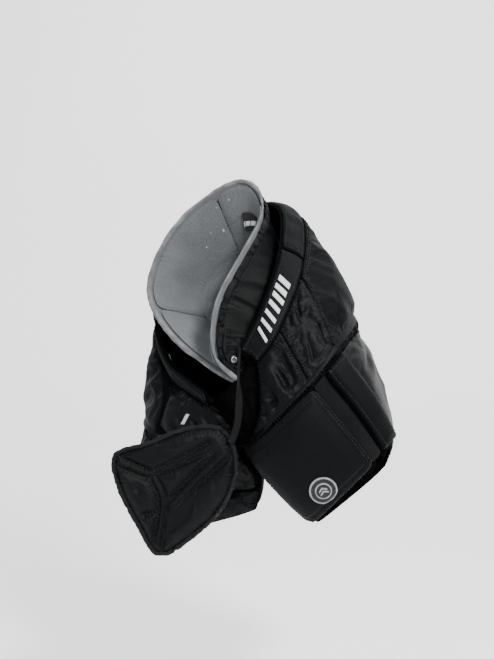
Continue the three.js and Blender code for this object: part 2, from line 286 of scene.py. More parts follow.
def cloth(name, dark, light, rough, pitch, depth, shine=0.35, sheen=0.01, dust=0.3, slant=0.0):
    """Woven cloth: weave bump, cloudy colour and roughness, and dust that lies in patches."""
    finish = Finish(
        name,
        Sheen_Weight=sheen,
        Sheen_Roughness=0.45,
        Sheen_Tint=(0.55, 0.6, 0.75, 1.0),
        Specular_IOR_Level=shine,
    )
    cloud = finish.noise(22.0, 4.0, 0.6)
    speck = finish.noise(420.0, 2.0, 0.7)
    patch = cloud.spread(0.38, 0.7)
    lint = speck.spread(0.68, 0.8) * (dust * 0.4) + patch * 0.35
    color = finish.mix(lint, rgb(*dark), rgb(*light))
    roughness = patch * 0.06 + speck * 0.05 + (rough - 0.05)
    threads = weave_height(finish, pitch, slant)
    slub = finish.noise(160.0, 3.0, 0.6)
    normal = finish.bump(threads * 0.6 + slub * 1.2, depth)
    return finish.feed(Base_Color=color, Roughness=roughness, Normal=normal)


SATIN = cloth("satin_nylon", (0.0008, 0.0012, 0.0017), (0.002, 0.0026, 0.0035), 0.44, 0.0016, 0.00015, shine=0.1)
SHELL = cloth("matte_shell", (0.0013, 0.0018, 0.0024), (0.003, 0.0038, 0.0048), 0.55, 0.0021, 0.0002, shine=0.06)
BAND = cloth("padded_band", (0.0015, 0.002, 0.0027), (0.0034, 0.0042, 0.0053), 0.54, 0.0018, 0.00015, shine=0.07)
KNIT = cloth("stretch_knit", (0.0009, 0.001, 0.0012), (0.0022, 0.0023, 0.0028), 0.8, 0.0024, 0.0003, shine=0.03, sheen=0.0, slant=0.6)
WEBBING = cloth("webbing", (0.003, 0.0033, 0.0038), (0.009, 0.0096, 0.0105), 0.55, 0.0026, 0.0005, shine=0.1, slant=0.9)
BINDING = cloth("black_binding", (0.0016, 0.002, 0.0026), (0.0045, 0.0053, 0.0065), 0.45, 0.0014, 0.0003, shine=0.14)
print("black cloths: satin, shell, band, knit, webbing, binding")


# %% Brushed liner and its pale binding
def brushed_liner():
    """Grey brushed cloth: short soft pile, darker where hands and gloves have rubbed it, with painted shade towards the
    top and deeper inside.
    """
    finish = Finish("grey_liner", Sheen_Weight=0.12, Sheen_Roughness=0.5, Sheen_Tint=rgb(0.8, 0.82, 0.85), Specular_IOR_Level=0.15)
    worn = finish.noise(11.0, 4.0, 0.62).spread(0.35, 0.68)
    pile = finish.noise(520.0, 3.0, 0.75)
    lint = finish.noise(90.0, 1.0, 0.4).spread(0.76, 0.79)
    _, depth, height = finish.parts(finish.place())
    # painted shade: the grey darkens towards the top and further back inside the pants, where shade falls
    painted_shade = height.spread(-0.24, -0.03) * 0.4 + depth.spread(-0.07, 0.0) * 0.45
    fresh = finish.mix(worn, rgb(0.085, 0.094, 0.102), rgb(0.145, 0.157, 0.166))
    grey = finish.mix(painted_shade, fresh, rgb(0.04, 0.044, 0.047))
    flecked = finish.mix(pile.spread(0.3, 0.8) * 0.5, grey, rgb(0.17, 0.178, 0.185))
    linted = finish.mix(lint * 0.5, flecked, rgb(0.5, 0.5, 0.5))
    rib = weave_height(finish, 0.0022) * 0.5
    return finish.feed(Base_Color=linted, Roughness=pile * 0.1 + 0.84, Normal=finish.bump(pile + rib, 0.0006))


def pale_binding():
    """The rolled light-grey edge of the belt, ribbed across."""
    finish = Finish("grey_binding", Sheen_Weight=0.1, Specular_IOR_Level=0.2)
    worn = finish.noise(30.0, 3.0, 0.6).spread(0.35, 0.7)
    grey = finish.mix(worn, rgb(0.11, 0.118, 0.126), rgb(0.215, 0.225, 0.235))
    return finish.feed(Base_Color=grey, Roughness=worn * 0.1 + 0.72, Normal=finish.bump(weave_height(finish, 0.0015), 0.0004))


LINER = brushed_liner()
RIM = pale_binding()
print("liner cloths ready")


# %% Hook-and-loop, metal, plastic, prints and threads
def loop_pile():
    """Hook-and-loop patch: a felted mat of fine loops."""
    finish = Finish("loop_pile", Specular_IOR_Level=0.02)
    mat = finish.noise(900.0, 4.0, 0.8)
    x, _, z = finish.parts(finish.place())
    rows = ((x + z * 0.6) * (2 * math.pi / 0.0036)).sine()
    cloud = finish.noise(40.0, 2.0).spread(0.35, 0.7)
    tone = finish.mix(mat.spread(0.35, 0.7) * 0.7 + cloud * 0.3, rgb(0.0006, 0.0006, 0.0005), rgb(0.0045, 0.0045, 0.0036))
    return finish.feed(Base_Color=tone, Roughness=mat * 0.1 + 0.88, Normal=finish.bump(mat + rows * 0.5, 0.0012))


def plated_metal():
    """Nickel-plated button: fine scratches and dulled patches."""
    finish = Finish("plated_metal", Metallic=1.0)
    scratch = finish.noise(700.0, 2.0, 0.7)
    dull = finish.noise(60.0, 3.0).spread(0.4, 0.7)
    tone = finish.mix(dull, rgb(0.62, 0.63, 0.65), rgb(0.42, 0.42, 0.43))
    return finish.feed(Base_Color=tone, Roughness=dull * 0.2 + scratch * 0.1 + 0.14, Normal=finish.bump(scratch, 0.0001))


def moulded(name, dark, light, rough):
    """Moulded or printed plastic: fine grain and slight scuffs."""
    finish = Finish(name)
    grain = finish.noise(600.0, 3.0, 0.6)
    scuff = finish.noise(35.0, 4.0, 0.65).spread(0.45, 0.72)
    tone = finish.mix(scuff * 0.6, rgb(*dark), rgb(*light))
    return finish.feed(Base_Color=tone, Roughness=scuff * 0.15 + rough, Normal=finish.bump(grain, 0.0002))


def embroidered(name, dark, light):
    """Close parallel stitches of shiny thread."""
    finish = Finish(name, Sheen_Weight=0.05, Specular_IOR_Level=0.25)
    x, y, z = finish.parts(finish.place())
    ribs = ((x * 0.8 + z * 0.6) * (2 * math.pi / 0.0011)).sine()
    cloud = finish.noise(120.0, 3.0).spread(0.3, 0.7)
    tone = finish.mix(ribs * 0.25 + cloud * 0.4 + 0.2, rgb(*dark), rgb(*light))
    return finish.feed(Base_Color=tone, Roughness=cloud * 0.12 + 0.5, Normal=finish.bump(ribs, 0.0003))


LOOP = loop_pile()
METAL = plated_metal()
PLATE = moulded("stiff_plastic", (0.02, 0.02, 0.021), (0.05, 0.05, 0.052), 0.42)
PRINT_WHITE = moulded("white_print", (0.5, 0.51, 0.52), (0.68, 0.69, 0.7), 0.5)
PRINT_GREY = moulded("grey_print", (0.22, 0.225, 0.235), (0.33, 0.335, 0.345), 0.5)
LABEL = cloth("label_cloth", (0.006, 0.006, 0.007), (0.017, 0.017, 0.019), 0.7, 0.0012, 0.0002)
SILVER = embroidered("silver_thread", (0.2, 0.205, 0.215), (0.5, 0.51, 0.53))
CHARCOAL = embroidered("charcoal_thread", (0.006, 0.006, 0.007), (0.02, 0.021, 0.023))
THREAD = embroidered("black_thread", (0.004, 0.004, 0.005), (0.016, 0.017, 0.019))
BLUE = embroidered("blue_thread", (0.02, 0.05, 0.13), (0.05, 0.1, 0.22))
CLEAR = moulded("clear_plastic", (0.75, 0.77, 0.8), (0.85, 0.87, 0.9), 0.2)


def paint_room():
    """The pale floor and wall."""
    finish = Finish("pale_room", Emission_Color=rgb(1, 1, 1), Emission_Strength=0.55, Roughness=0.9)
    cloud = finish.noise(1.3, 2.0).spread(0.2, 0.8)
    tone = finish.mix(cloud, rgb(0.86, 0.86, 0.86), rgb(0.9, 0.9, 0.9))
    room.data.materials.append(finish.feed(Base_Color=tone))


paint_room()
print("materials:", len(bpy.data.materials))

# %% [markdown]
# ## From plain solid to sewn panel
# Each plain solid is a padded slab. A copy of it is welded, its triangles are joined back to four-sided
# faces, and subdivision turns it into a soft pillow. The slab's sharp rim is the seam: `Seam` keeps the
# points of that rim, so that gathers, stitches and bindings can follow it.

# %% Mesh helpers
WELD = 0.00002


def points_of(piece):
    values = np.empty(len(piece.data.vertices) * 3)
    piece.data.vertices.foreach_get("co", values)
    return values.reshape(-1, 3)


def set_points(piece, points):
    piece.data.vertices.foreach_set("co", np.ascontiguousarray(points, dtype=np.float32).ravel())
    piece.data.update()


def normals_of(piece):
    values = np.empty(len(piece.data.vertices) * 3)
    piece.data.vertex_normals.foreach_get("vector", values)
    return values.reshape(-1, 3)


def new_piece(name, mesh, *materials):
    piece = bpy.data.objects.new(name, mesh)
    bpy.context.scene.collection.objects.link(piece)
    for material in materials:
        mesh.materials.append(material)
    return piece


def apply_modifiers(piece):
    """Keeps what the modifiers make, and drops them."""
    bpy.context.view_layer.update()
    made = piece.evaluated_get(bpy.context.evaluated_depsgraph_get())
    mesh = bpy.data.meshes.new_from_object(made)
    old = piece.data
    piece.modifiers.clear()
    piece.data = mesh
    bpy.data.meshes.remove(old)
    mesh.shade_smooth()


def welded(node):
    """The node's solid as four-sided faces, in a bmesh."""
    work = bmesh.new()
    work.from_mesh(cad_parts[node].data)
    bmesh.ops.remove_doubles(work, verts=work.verts, dist=WELD)
    limit = math.radians(60)
    bmesh.ops.join_triangles(
        work, faces=work.faces, angle_face_threshold=limit, angle_shape_threshold=limit * 1.5, cmp_seam=False,
        cmp_sharp=False, cmp_uvs=False, cmp_vcols=False, cmp_materials=False)
    bmesh.ops.recalc_face_normals(work, faces=work.faces)
    return work


def subdivided(piece, levels):
    modifier = piece.modifiers.new("soften", "SUBSURF")
    modifier.levels = levels
    modifier.render_levels = levels
    apply_modifiers(piece)


def sewn(node, material, levels=3, hold=0.35, rounding=0):
    """A soft copy of a CAD solid. `hold` keeps its rim from rounding away, `rounding` eases its corners."""
    work = welded(node)
    for _ in range(rounding):
        bmesh.ops.smooth_vert(work, verts=work.verts, factor=0.5, use_axis_x=True, use_axis_y=True, use_axis_z=True)
    crease = work.edges.layers.float.new("crease_edge")
    for edge in work.edges:
        if len(edge.link_faces) == 2 and edge.calc_face_angle() > math.radians(38):
            edge[crease] = hold
    mesh = bpy.data.meshes.new(node + "_cloth")
    work.to_mesh(mesh)
    work.free()
    piece = new_piece(node + "_cloth", mesh, material)
    subdivided(piece, levels)
    return piece


print("mesh helpers ready")


# %% Seams
SHARP = math.radians(38)
SEAM_STEP = 0.0015


def smooth_step(low, high, values):
    t = np.clip((values - low) / (high - low), 0, 1)
    return t * t * (3 - 2 * t)


def dot(first, second):
    return (first * second).sum(-1)


def unit(vectors):
    return vectors / np.maximum(np.linalg.norm(vectors, axis=-1, keepdims=True), 1e-12)


def faces_of_side(work, rank):
    """Floods the solid's faces up to its sharp edges, and gives the rank-th largest side."""
    unseen = set(work.faces)
    sides = []
    while unseen:
        front = [unseen.pop()]
        side = list(front)
        while front:
            for edge in front.pop().edges:
                if len(edge.link_faces) != 2 or edge.calc_face_angle() > SHARP:
                    continue
                for other in edge.link_faces:
                    if other in unseen:
                        unseen.discard(other)
                        front.append(other)
                        side.append(other)
        sides.append(side)
    sides.sort(key=lambda side: -sum(face.calc_area() for face in side))
    return set(sides[min(rank, len(sides) - 1)])


def walk_rim(side):
    """The longest loop of edges round a side, as edges in order with the way they are walked."""
    rim = {edge for face in side for edge in face.edges if sum(f in side for f in edge.link_faces) == 1}
    loops = []
    while rim:
        edge = rim.pop()
        vert = edge.verts[1]
        loop = [(edge, edge.verts[0], vert)]
        while True:
            onward = [e for e in vert.link_edges if e in rim]
            if not onward:
                break
            rim.discard(onward[0])
            loop.append((onward[0], vert, onward[0].other_vert(vert)))
            vert = onward[0].other_vert(vert)
        loops.append(loop)
    return max(loops, key=lambda loop: sum(edge.calc_length() for edge, _, _ in loop))


class Seam:
    """The sewn rim of one side of a CAD solid, as close points in order.

    At each point `out` leads off the panel along the cloth, and `up` leads away from its face.
    """

    def __init__(self, node, rank=0):
        work = welded(node)
        side = faces_of_side(work, rank)
        points, out, up = [], [], []
        for edge, start, end in walk_rim(side):
            face = next(face for face in edge.link_faces if face in side)
            along = (end.co - start.co).normalized()
            away = (start.co + end.co) / 2 - face.calc_center_median()
            away = (away - along * away.dot(along)).normalized()
            count = max(1, round(edge.calc_length() / SEAM_STEP))
            points += [start.co.lerp(end.co, k / count) for k in range(count)]
            out += [away] * count
            up += [face.normal.copy()] * count
        work.free()
        self.points = np.array(points)
        self.out = np.array(out)
        self.up = np.array(up)
        steps = np.linalg.norm(np.roll(self.points, -1, 0) - self.points, axis=1)
        self.run = np.concatenate([[0], np.cumsum(steps)[:-1]])
        self.tree = KDTree(len(points))
        for index, point in enumerate(points):
            self.tree.insert(point, index)
        self.tree.balance()

    def near(self, points):
        """For each point: how far the seam is, and which of the seam's points is nearest."""
        found = [self.tree.find(point)[1:] for point in points]
        return np.array([f[1] for f in found]), np.array([f[0] for f in found])

    def inset(self, distance):
        """The same line moved in over the panel."""
        return self.points - self.out * distance

    def stretch(self, towards, distance=0.0, least=0.75):
        """The longest unbroken stretch of the seam that faces `towards`, moved in by a distance."""
        chosen = self.out @ unit(np.array(towards, dtype=float)) > least
        line = self.inset(distance)
        first = int(np.argmin(chosen))
        runs, current = [], []
        for index in list(range(first, len(line))) + list(range(first)):
            if chosen[index]:
                current.append(line[index])
            elif current:
                runs.append(current)
                current = []
        runs.append(current)
        return np.array(max(runs, key=len))


print("seams can be found")


# %% Gathers, folds and swelling
def wander(values, seed):
    """A slow smooth wandering of a number, from about -1 to 1."""
    random = np.random.RandomState(seed)
    total = np.zeros_like(values)
    for octave in (1.0, 2.1, 3.7):
        total += np.sin(values * octave + random.uniform(0, 6.28)) / (1.2 * octave)
    return total


def faces_way(seam, index, way):
    """1 where the seam lies towards a way, 0 where it doesn't."""
    return smooth_step(0.35, 0.65, seam.out[index] @ unit(np.array(way, dtype=float)))


def spread_rim(piece, seam, amount, reach=0.006, towards=None):
    """Lets the rim of a panel run out to meet its neighbour."""
    points = points_of(piece)
    distance, index = seam.near(points)
    weight = amount * np.clip(1 - distance / reach, 0, 1)
    if towards is not None:
        weight *= faces_way(seam, index, towards)
    set_points(piece, points + seam.out[index] * weight[:, None])


def gather(piece, seam, depth, reach, pitch, seed=1, not_towards=None):
    """Pulls the cloth in between tight gathers along the seam, and fades over `reach`."""
    points = points_of(piece)
    distance, index = seam.near(points)
    run = seam.run[index]
    length = reach * (0.7 + 0.6 * (0.5 + 0.5 * wander(run / pitch * 1.3, seed + 5)))
    phase = run / pitch * 2 * math.pi
    ripple = np.sin(phase + 1.8 * wander(run / pitch * 0.45, seed)) * np.exp(-((distance / length) ** 1.5))
    tuck = np.exp(-((distance / 0.003) ** 2))
    weight = 0.5 * ripple * (0.7 + 0.4 * wander(run / pitch * 0.8, seed + 9)) - 0.25 * tuck
    if not_towards is not None:
        weight *= 1 - faces_way(seam, index, not_towards)
    set_points(piece, points + normals_of(piece) * (weight * depth)[:, None])


def fold(piece, seam, across, spacing, height, seed=3, sharp=0.8):
    """Long soft folds whose crests are crossed when moving along `across`."""
    points = points_of(piece)
    normals = normals_of(piece)
    distance, index = seam.near(points)
    outward = np.sign(dot(normals, seam.up[index]))
    direction = unit(np.array(across, dtype=float))
    side = unit(np.cross(direction, seam.up.mean(0)))
    travel = points @ direction / spacing
    along = points @ side / spacing
    bend = 1.4 * wander(along * 1.1, seed) + 1.0 * wander(travel * 2.3, seed + 4)
    wave = np.sin(2 * math.pi * travel + bend)
    crest = np.sign(wave) * np.abs(wave) ** sharp
    fade = smooth_step(0, 1, distance / 0.012) * np.clip(0.55 + 0.6 * wander(along * 1.7 + travel, seed + 7), 0, 1.2)
    set_points(piece, points + normals * (outward * crest * fade * height)[:, None])


def swell(piece, seam, profile):
    """Raises the face by a profile of (distance from the seam, height) pairs."""
    points = points_of(piece)
    normals = normals_of(piece)
    distance, index = seam.near(points)
    facing = smooth_step(0.2, 0.7, dot(normals, seam.up[index]))
    height = np.interp(distance, [p[0] for p in profile], [p[1] for p in profile])
    set_points(piece, points + normals * (height * facing)[:, None])


def soften(piece, rounds=2):
    modifier = piece.modifiers.new("relax", "SMOOTH")
    modifier.factor = 0.5
    modifier.iterations = rounds
    apply_modifiers(piece)


print("cloth helpers ready")


# %% Stuffing blown up by cloth simulation
BLOW_FRAMES = 20


def stuff(piece, seam, pressure=4.0, slack=0.05, hold=0.0025):
    """Pins a panel at its seam and adds Cloth: pressure inside, and a little more cloth than the space."""
    group = piece.vertex_groups.new(name="sewn")
    distance, _ = seam.near(points_of(piece))
    group.add([int(i) for i in np.nonzero(distance < hold)[0]], 1.0, "REPLACE")
    modifier = piece.modifiers.new("stuffing", "CLOTH")
    settings = modifier.settings
    settings.quality = 4
    settings.mass = 0.2
    settings.tension_stiffness = 12
    settings.compression_stiffness = 12
    settings.shear_stiffness = 4
    settings.bending_stiffness = 0.3
    settings.use_pressure = True
    settings.uniform_pressure_force = pressure
    settings.shrink_min = -slack
    settings.vertex_group_mass = "sewn"
    settings.effector_weights.gravity = 0
    modifier.collision_settings.use_collision = False
    modifier.point_cache.frame_end = BLOW_FRAMES


def blow_up(caps):
    """Runs the simulation once for all stuffed pieces, and caps how far each may move."""
    scene = bpy.context.scene
    for number in range(1, BLOW_FRAMES + 1):
        scene.frame_set(number)
    graph = bpy.context.evaluated_depsgraph_get()
    settled = {}
    for piece in caps:
        values = np.empty(len(piece.data.vertices) * 3)
        piece.evaluated_get(graph).data.vertices.foreach_get("co", values)
        settled[piece] = values.reshape(-1, 3)
    for piece, cap in caps.items():
        start = points_of(piece)
        move = settled[piece] - start
        length = np.linalg.norm(move, axis=1, keepdims=True)
        piece.modifiers.clear()
        set_points(piece, start + move * np.minimum(1, cap / np.maximum(length, 1e-9)))
    scene.frame_set(1)


print("simulation ready:", BLOW_FRAMES, "frames")


# %% Threads, bindings and printed shapes laid on the cloth
class Surface:
    """Finds the nearest place on a piece."""

    def __init__(self, piece):
        self.tree = BVHTree.FromPolygons(
            [v.co.copy() for v in piece.data.vertices], [p.vertices[:] for p in piece.data.polygons])

    def on(self, point):
        place, normal, _, _ = self.tree.find_nearest(Vector(point))
        return place, normal

    def under(self, point, facing, reach=0.03):
        """The first place met when coming down on the piece from outside."""
        facing = Vector(facing).normalized()
        place, normal, _, _ = self.tree.ray_cast(Vector(point) + facing * reach, -facing, reach * 2)
        return (place, normal) if place else self.on(point)


def resample(points, step, closed=False):
    """The same line with points at an even spacing."""
    line = [Vector(p) for p in points]
    if closed:
        line.append(line[0])
    lengths = [0.0]
    for a, b in zip(line, line[1:]):
        lengths.append(lengths[-1] + (b - a).length)
    count = max(2, round(lengths[-1] / step))
    places = np.linspace(0, lengths[-1], count + 1)
    stacked = np.array([list(p) for p in line])
    return np.stack([np.interp(places, lengths, stacked[:, k]) for k in range(3)], 1)


def stitch_row(name, surface, points, material=None, pitch=0.0042, stitch=0.0028, thick=0.00055):
    """A row of lockstitches along a line: each is a small closed bar sunk in the cloth."""
    line = resample(points, pitch)
    verts, faces = [], []
    for a, b in zip(line, line[1:]):
        start, end = Vector(a), Vector(b)
        middle = (start + end) / 2
        place, normal = surface.on(middle)
        along = (end - start).normalized()
        along = (along - normal * along.dot(normal)).normalized()
        aside = normal.cross(along) * thick
        base = len(verts)
        for share, lift in ((-0.5, -0.3), (-0.25, 0.7), (0.25, 0.7), (0.5, -0.3)):
            spot = place + along * stitch * share
            for turn in range(4):
                angle = math.pi / 2 * turn
                out = aside * math.cos(angle) + normal * thick * (math.sin(angle) + lift)
                verts.append(spot + out)
        for ring in range(3):
            for k in range(4):
                a0 = base + ring * 4 + k
                a1 = base + ring * 4 + (k + 1) % 4
                faces.append((a0, a1, a1 + 4, a0 + 4))
        faces.append(tuple(base + k for k in (3, 2, 1, 0)))
        faces.append(tuple(base + 12 + k for k in range(4)))
    mesh = bpy.data.meshes.new(name)
    mesh.from_pydata([v[:] for v in verts], [], faces)
    mesh.shade_smooth()
    return new_piece(name, mesh, material or THREAD)


def ribbon(name, surface, points, width, thick, material, closed=False, ripple=0.0, lift=0.0):
    """A flat tape laid along a line on the cloth, with rounded long edges."""
    line = resample(points, 0.003, closed)
    if closed:
        line = line[:-1]
    count = len(line)
    profile = [(-0.5, -0.2), (-0.46, 0.6), (-0.2, 0.95), (0.2, 0.95), (0.46, 0.6), (0.5, -0.2)]
    verts, faces = [], []
    for index in range(count):
        before = Vector(line[(index - 1) % count] if closed else line[max(index - 1, 0)])
        after = Vector(line[(index + 1) % count] if closed else line[min(index + 1, count - 1)])
        place, normal = surface.on(line[index])
        along = (after - before).normalized()
        aside = normal.cross(along).normalized()
        puff = 1 + ripple * math.sin(index * 1.9 + math.sin(index * 0.37) * 2)
        for u, v in profile:
            verts.append(place + aside * width * u + normal * (lift + thick * v * puff))
    size = len(profile)
    rings = count if closed else count - 1
    for ring in range(rings):
        for k in range(size):
            a0 = ring * size + k
            a1 = ring * size + (k + 1) % size
            b0 = ((ring + 1) % count) * size + k
            b1 = ((ring + 1) % count) * size + (k + 1) % size
            faces.append((a0, b0, b1, a1))
    if not closed:
        faces.append(tuple(range(size)))
        faces.append(tuple((count - 1) * size + k for k in reversed(range(size))))
    mesh = bpy.data.meshes.new(name)
    mesh.from_pydata([v[:] for v in verts], [], faces)
    work = bmesh.new()
    work.from_mesh(mesh)
    bmesh.ops.recalc_face_normals(work, faces=work.faces)
    work.to_mesh(mesh)
    work.free()
    mesh.shade_smooth()
    return new_piece(name, mesh, material)


def cut_grid(work, pitch, axes):
    """Cuts a flat mesh into squares along the given axes."""
    for axis in axes:
        low = min(v.co[axis] for v in work.verts)
        high = max(v.co[axis] for v in work.verts)
        direction = Vector([float(k == axis) for k in range(3)])
        for step in range(1, math.ceil((high - low) / pitch)):
            parts = work.verts[:] + work.edges[:] + work.faces[:]
            bmesh.ops.bisect_plane(work, geom=parts, plane_co=direction * (low + step * pitch), plane_no=direction)


def stamp(name, surface, outline, origin, right, up, thick, material, grid=0.0025):
    """A thin printed or sewn shape laid on the cloth: its outline is in metres along right and up."""
    curve = bpy.data.curves.new(name, "CURVE")
    curve.dimensions = "2D"
    curve.fill_mode = "BOTH"
    spline = curve.splines.new("POLY")
    spline.points.add(len(outline) - 1)
    for point, (x, y) in zip(spline.points, outline):
        point.co = (x, y, 0, 1)
    spline.use_cyclic_u = True
    flat = bpy.data.objects.new(name + "_flat", curve)
    bpy.context.scene.collection.objects.link(flat)
    bpy.context.view_layer.update()
    mesh = bpy.data.meshes.new_from_object(flat.evaluated_get(bpy.context.evaluated_depsgraph_get()))
    bpy.data.objects.remove(flat)
    work = bmesh.new()
    work.from_mesh(mesh)
    bmesh.ops.remove_doubles(work, verts=work.verts, dist=WELD)
    cut_grid(work, grid, (0, 1))
    outward = Vector(right).cross(Vector(up))
    outward = outward if outward.dot(surface.on(origin)[1]) > 0 else -outward
    for vertex in work.verts:
        spot = Vector(origin) + Vector(right) * vertex.co.x + Vector(up) * vertex.co.y
        place, normal = surface.under(spot, outward)
        vertex.co = place + normal * (thick * 0.5)
    work.to_mesh(mesh)
    work.free()
    piece = new_piece(name, mesh, material)
    modifier = piece.modifiers.new("body", "SOLIDIFY")
    modifier.thickness = thick * 1.6
    modifier.offset = 0
    apply_modifiers(piece)
    return piece


print("threads, tapes and prints ready")

# %% [markdown]
# ## The outer shell
# Panels are sewn in one loop from a table of what each one is like: its cloth, how far it is gathered at its
# rim, and the folds that the hanging weight draws in it. The flexing cuffs sit between the hips and a leg.

# %% Panels of the shell
LEG_WAY = {"left": (0.6, 0.2, -0.775), "right": (0.0, 0.447, -0.894)}     # from the hips to each leg
PANELS = {
    # node: cloth, (gather depth, reach, pitch), [(fold across, spacing, height), ...], slot, body
    "left_front_panel": (SATIN, (2.4, 11, 4.2), [((0.8, 0, 0.6), 23, 2.4), ((0.9, 0, 0.1), 41, 1.8)], "satin_nylon", "hips"),
    "left_front_yoke": (SATIN, (2.8, 12, 4.0), [((1, 0, 0.25), 19, 2.2), ((0.8, 0, 0.6), 37, 1.6)], "satin_nylon", "hips"),
    "left_hip_pad": (SHELL, (2.2, 9, 4.2), [((0.3, 0.5, 0.8), 66, 1.6)], "matte_shell", "hips"),
    "left_seat_panel": (SATIN, (1.6, 9, 6), [((0.4, 0.2, 0.9), 38, 2.0)], "satin_nylon", "hips"),
    "left_side_panel": (SATIN, (1.6, 9, 6), [((0.6, 0.3, -0.7), 46, 1.8)], "satin_nylon", "left_leg"),
    "left_rear_panel": (SHELL, (1.5, 9, 6), [((0.5, 0.3, 0.8), 55, 1.6)], "matte_shell", "left_leg"),
    "left_inner_panel": (KNIT, (1.0, 7, 7), [((0.4, 0.2, 0.9), 32, 1.2)], "stretch_knit", "left_leg"),
    "right_front_panel": (SATIN, (2.0, 10, 4.5), [((0.8, 0, 0.6), 27, 2.2)], "satin_nylon", "hips"),
    "right_hip_pad": (SHELL, (1.5, 9, 6), [((0.2, 0.5, 0.9), 52, 1.8)], "matte_shell", "hips"),
    "right_seat_panel": (SATIN, (1.5, 9, 6), [((0.5, 0.1, 0.8), 36, 2.0)], "satin_nylon", "hips"),
    "right_thigh_panel": (SATIN, (1.6, 9, 6), [((0.9, 0, 0.4), 30, 2.2)], "satin_nylon", "right_leg"),
    "right_side_panel": (SHELL, (1.5, 9, 6), [((0.1, 0.3, 1), 42, 1.6)], "matte_shell", "right_leg"),
    "right_rear_panel": (SHELL, (1.5, 9, 6), [((0.2, 0.2, 1), 46, 1.6)], "matte_shell", "right_leg"),
    "right_inner_panel": (KNIT, (1.0, 7, 7), [((0, 0.6, 0.8), 34, 1.2)], "stretch_knit", "right_leg"),
    "right_hem_block": (BAND, (1.8, 9, 5), [], "padded_band", "right_leg"),
    "fly_gusset": (KNIT, (0.8, 6, 6), [((0.8, 0, 0.5), 22, 1.4)], "stretch_knit", "hips"),
    "crotch_gusset": (KNIT, (0.8, 6, 6), [], "stretch_knit", "hips"),
}


def tape(node, seam, body, material=KNIT, half=0.006, depth=0.0046):
    """The seam allowance behind a panel's rim, which closes the slit to its neighbour."""
    pick = slice(None, None, 3)
    kernel = np.ones(7) / 7
    directions = []
    for raw in (seam.out, seam.up):
        padded = np.concatenate([raw[-9:], raw, raw[:9]])
        smooth = np.stack([np.convolve(padded[:, k], kernel, "same") for k in range(3)], 1)[9:-9]
        directions.append(unit(smooth)[pick])
    out, up = directions
    middle = seam.points[pick] - up * depth
    profile = [(-half, -0.0008), (-half, 0.0), (half, 0.0), (half, -0.0008)]
    rings = [middle + out * a + up * b for a, b in profile]
    count = len(middle)
    verts = np.concatenate(rings)
    faces = []
    for k in range(4):
        for i in range(count):
            j = (i + 1) % count
            m = (k + 1) % 4
            faces.append((k * count + i, k * count + j, m * count + j, m * count + i))
    mesh = bpy.data.meshes.new(node + "_allowance")
    mesh.from_pydata(verts.tolist(), [], faces)
    work = bmesh.new()
    work.from_mesh(mesh)
    bmesh.ops.recalc_face_normals(work, faces=work.faces)
    work.to_mesh(mesh)
    work.free()
    piece = new_piece(node + "_allowance", mesh, material)
    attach(piece, body)


FINE = ("left_front_panel", "left_front_yoke", "left_hip_pad", "right_front_panel", "right_hem_block")
SHELL_CAP = 0.005


def cut_panel(node, material):
    """One panel as a closed bag, stuffed and pinned at its seam."""
    piece = sewn(node, material, levels=3 if node in FINE else 2)
    seam = Seam(node)
    stuff(piece, seam)
    return piece, seam


def sew_panel(node, gathers, folds, slot, body, seed):
    """Gathers the panel at its seams, creases it by its folds and fixes it to its body."""
    piece, seam = shell[node]
    subdivided(piece, 1)
    open_way = LEG_WAY.get(node.split("_")[0]) if body == "hips" else None
    spread_rim(piece, seam, 0.0012)
    if open_way:
        spread_rim(piece, seam, 0.004, towards=open_way)
    for order, (across, spacing, height) in enumerate(folds):
        fold(piece, seam, across, spacing * MM, height * MM, seed=seed * 5 + order)
    depth, reach, pitch = gathers
    gather(piece, seam, depth * MM, reach * MM, pitch * MM, seed=seed, not_towards=open_way)
    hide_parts(node)
    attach(piece, body)
    tape(node, seam, body)


shell = {node: cut_panel(node, row[0]) for node, row in PANELS.items()}
blow_up({piece: SHELL_CAP for piece, _ in shell.values()})
for number, (node, row) in enumerate(PANELS.items()):
    sew_panel(node, *row[1:], seed=number + 1)
print("shell panels:", len(shell))

# %% Flexing cuffs
CUFFS = {
    # node: leg, the matt panels whose cloth it continues, (start, end) of the bend on the way to the leg
    "left_flex_cuff": ("left_leg", ("left_hip_pad",), (0.228, 0.246)),
    "right_flex_cuff": ("right_leg", ("right_hip_pad",), (0.284, 0.293)),
}


def share_cloth(piece, matt_nodes, all_nodes, matt):
    """Gives each face the cloth of the panel above it."""
    piece.data.materials.append(matt)
    trees = {node: Surface(shell[node][0]) for node in all_nodes}
    for face in piece.data.polygons:
        nearest = min(trees, key=lambda node: (trees[node].on(face.center)[0] - face.center).length)
        face.material_index = int(nearest in matt_nodes)


for number, (node, (leg, matt_nodes, (start, end))) in enumerate(CUFFS.items()):
    side = node.split("_")[0]
    piece = sewn(node, SATIN, levels=4)
    seam = Seam(node)
    away_from_leg = tuple(-c for c in LEG_WAY[side])
    spread_rim(piece, seam, 0.004, towards=away_from_leg)
    spread_rim(piece, seam, 0.0015, towards=LEG_WAY[side])
    gather(piece, seam, 5.0 * MM, 15 * MM, 4.5 * MM, seed=40 + number, not_towards=away_from_leg)
    share_cloth(piece, matt_nodes, [n for n in shell if n.startswith(side) and PANELS[n][4] == "hips"], SHELL)
    way = Vector(LEG_WAY[side]).normalized()
    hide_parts(node)
    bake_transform(piece)
print("cuffs blend between hips and legs")

# %% [markdown]
# ## The waistband
# A padded belt of four lengths, crowned like a sausage. Its left front carries a slanted white print: a plain
# row of leaning bars that grow along the band.

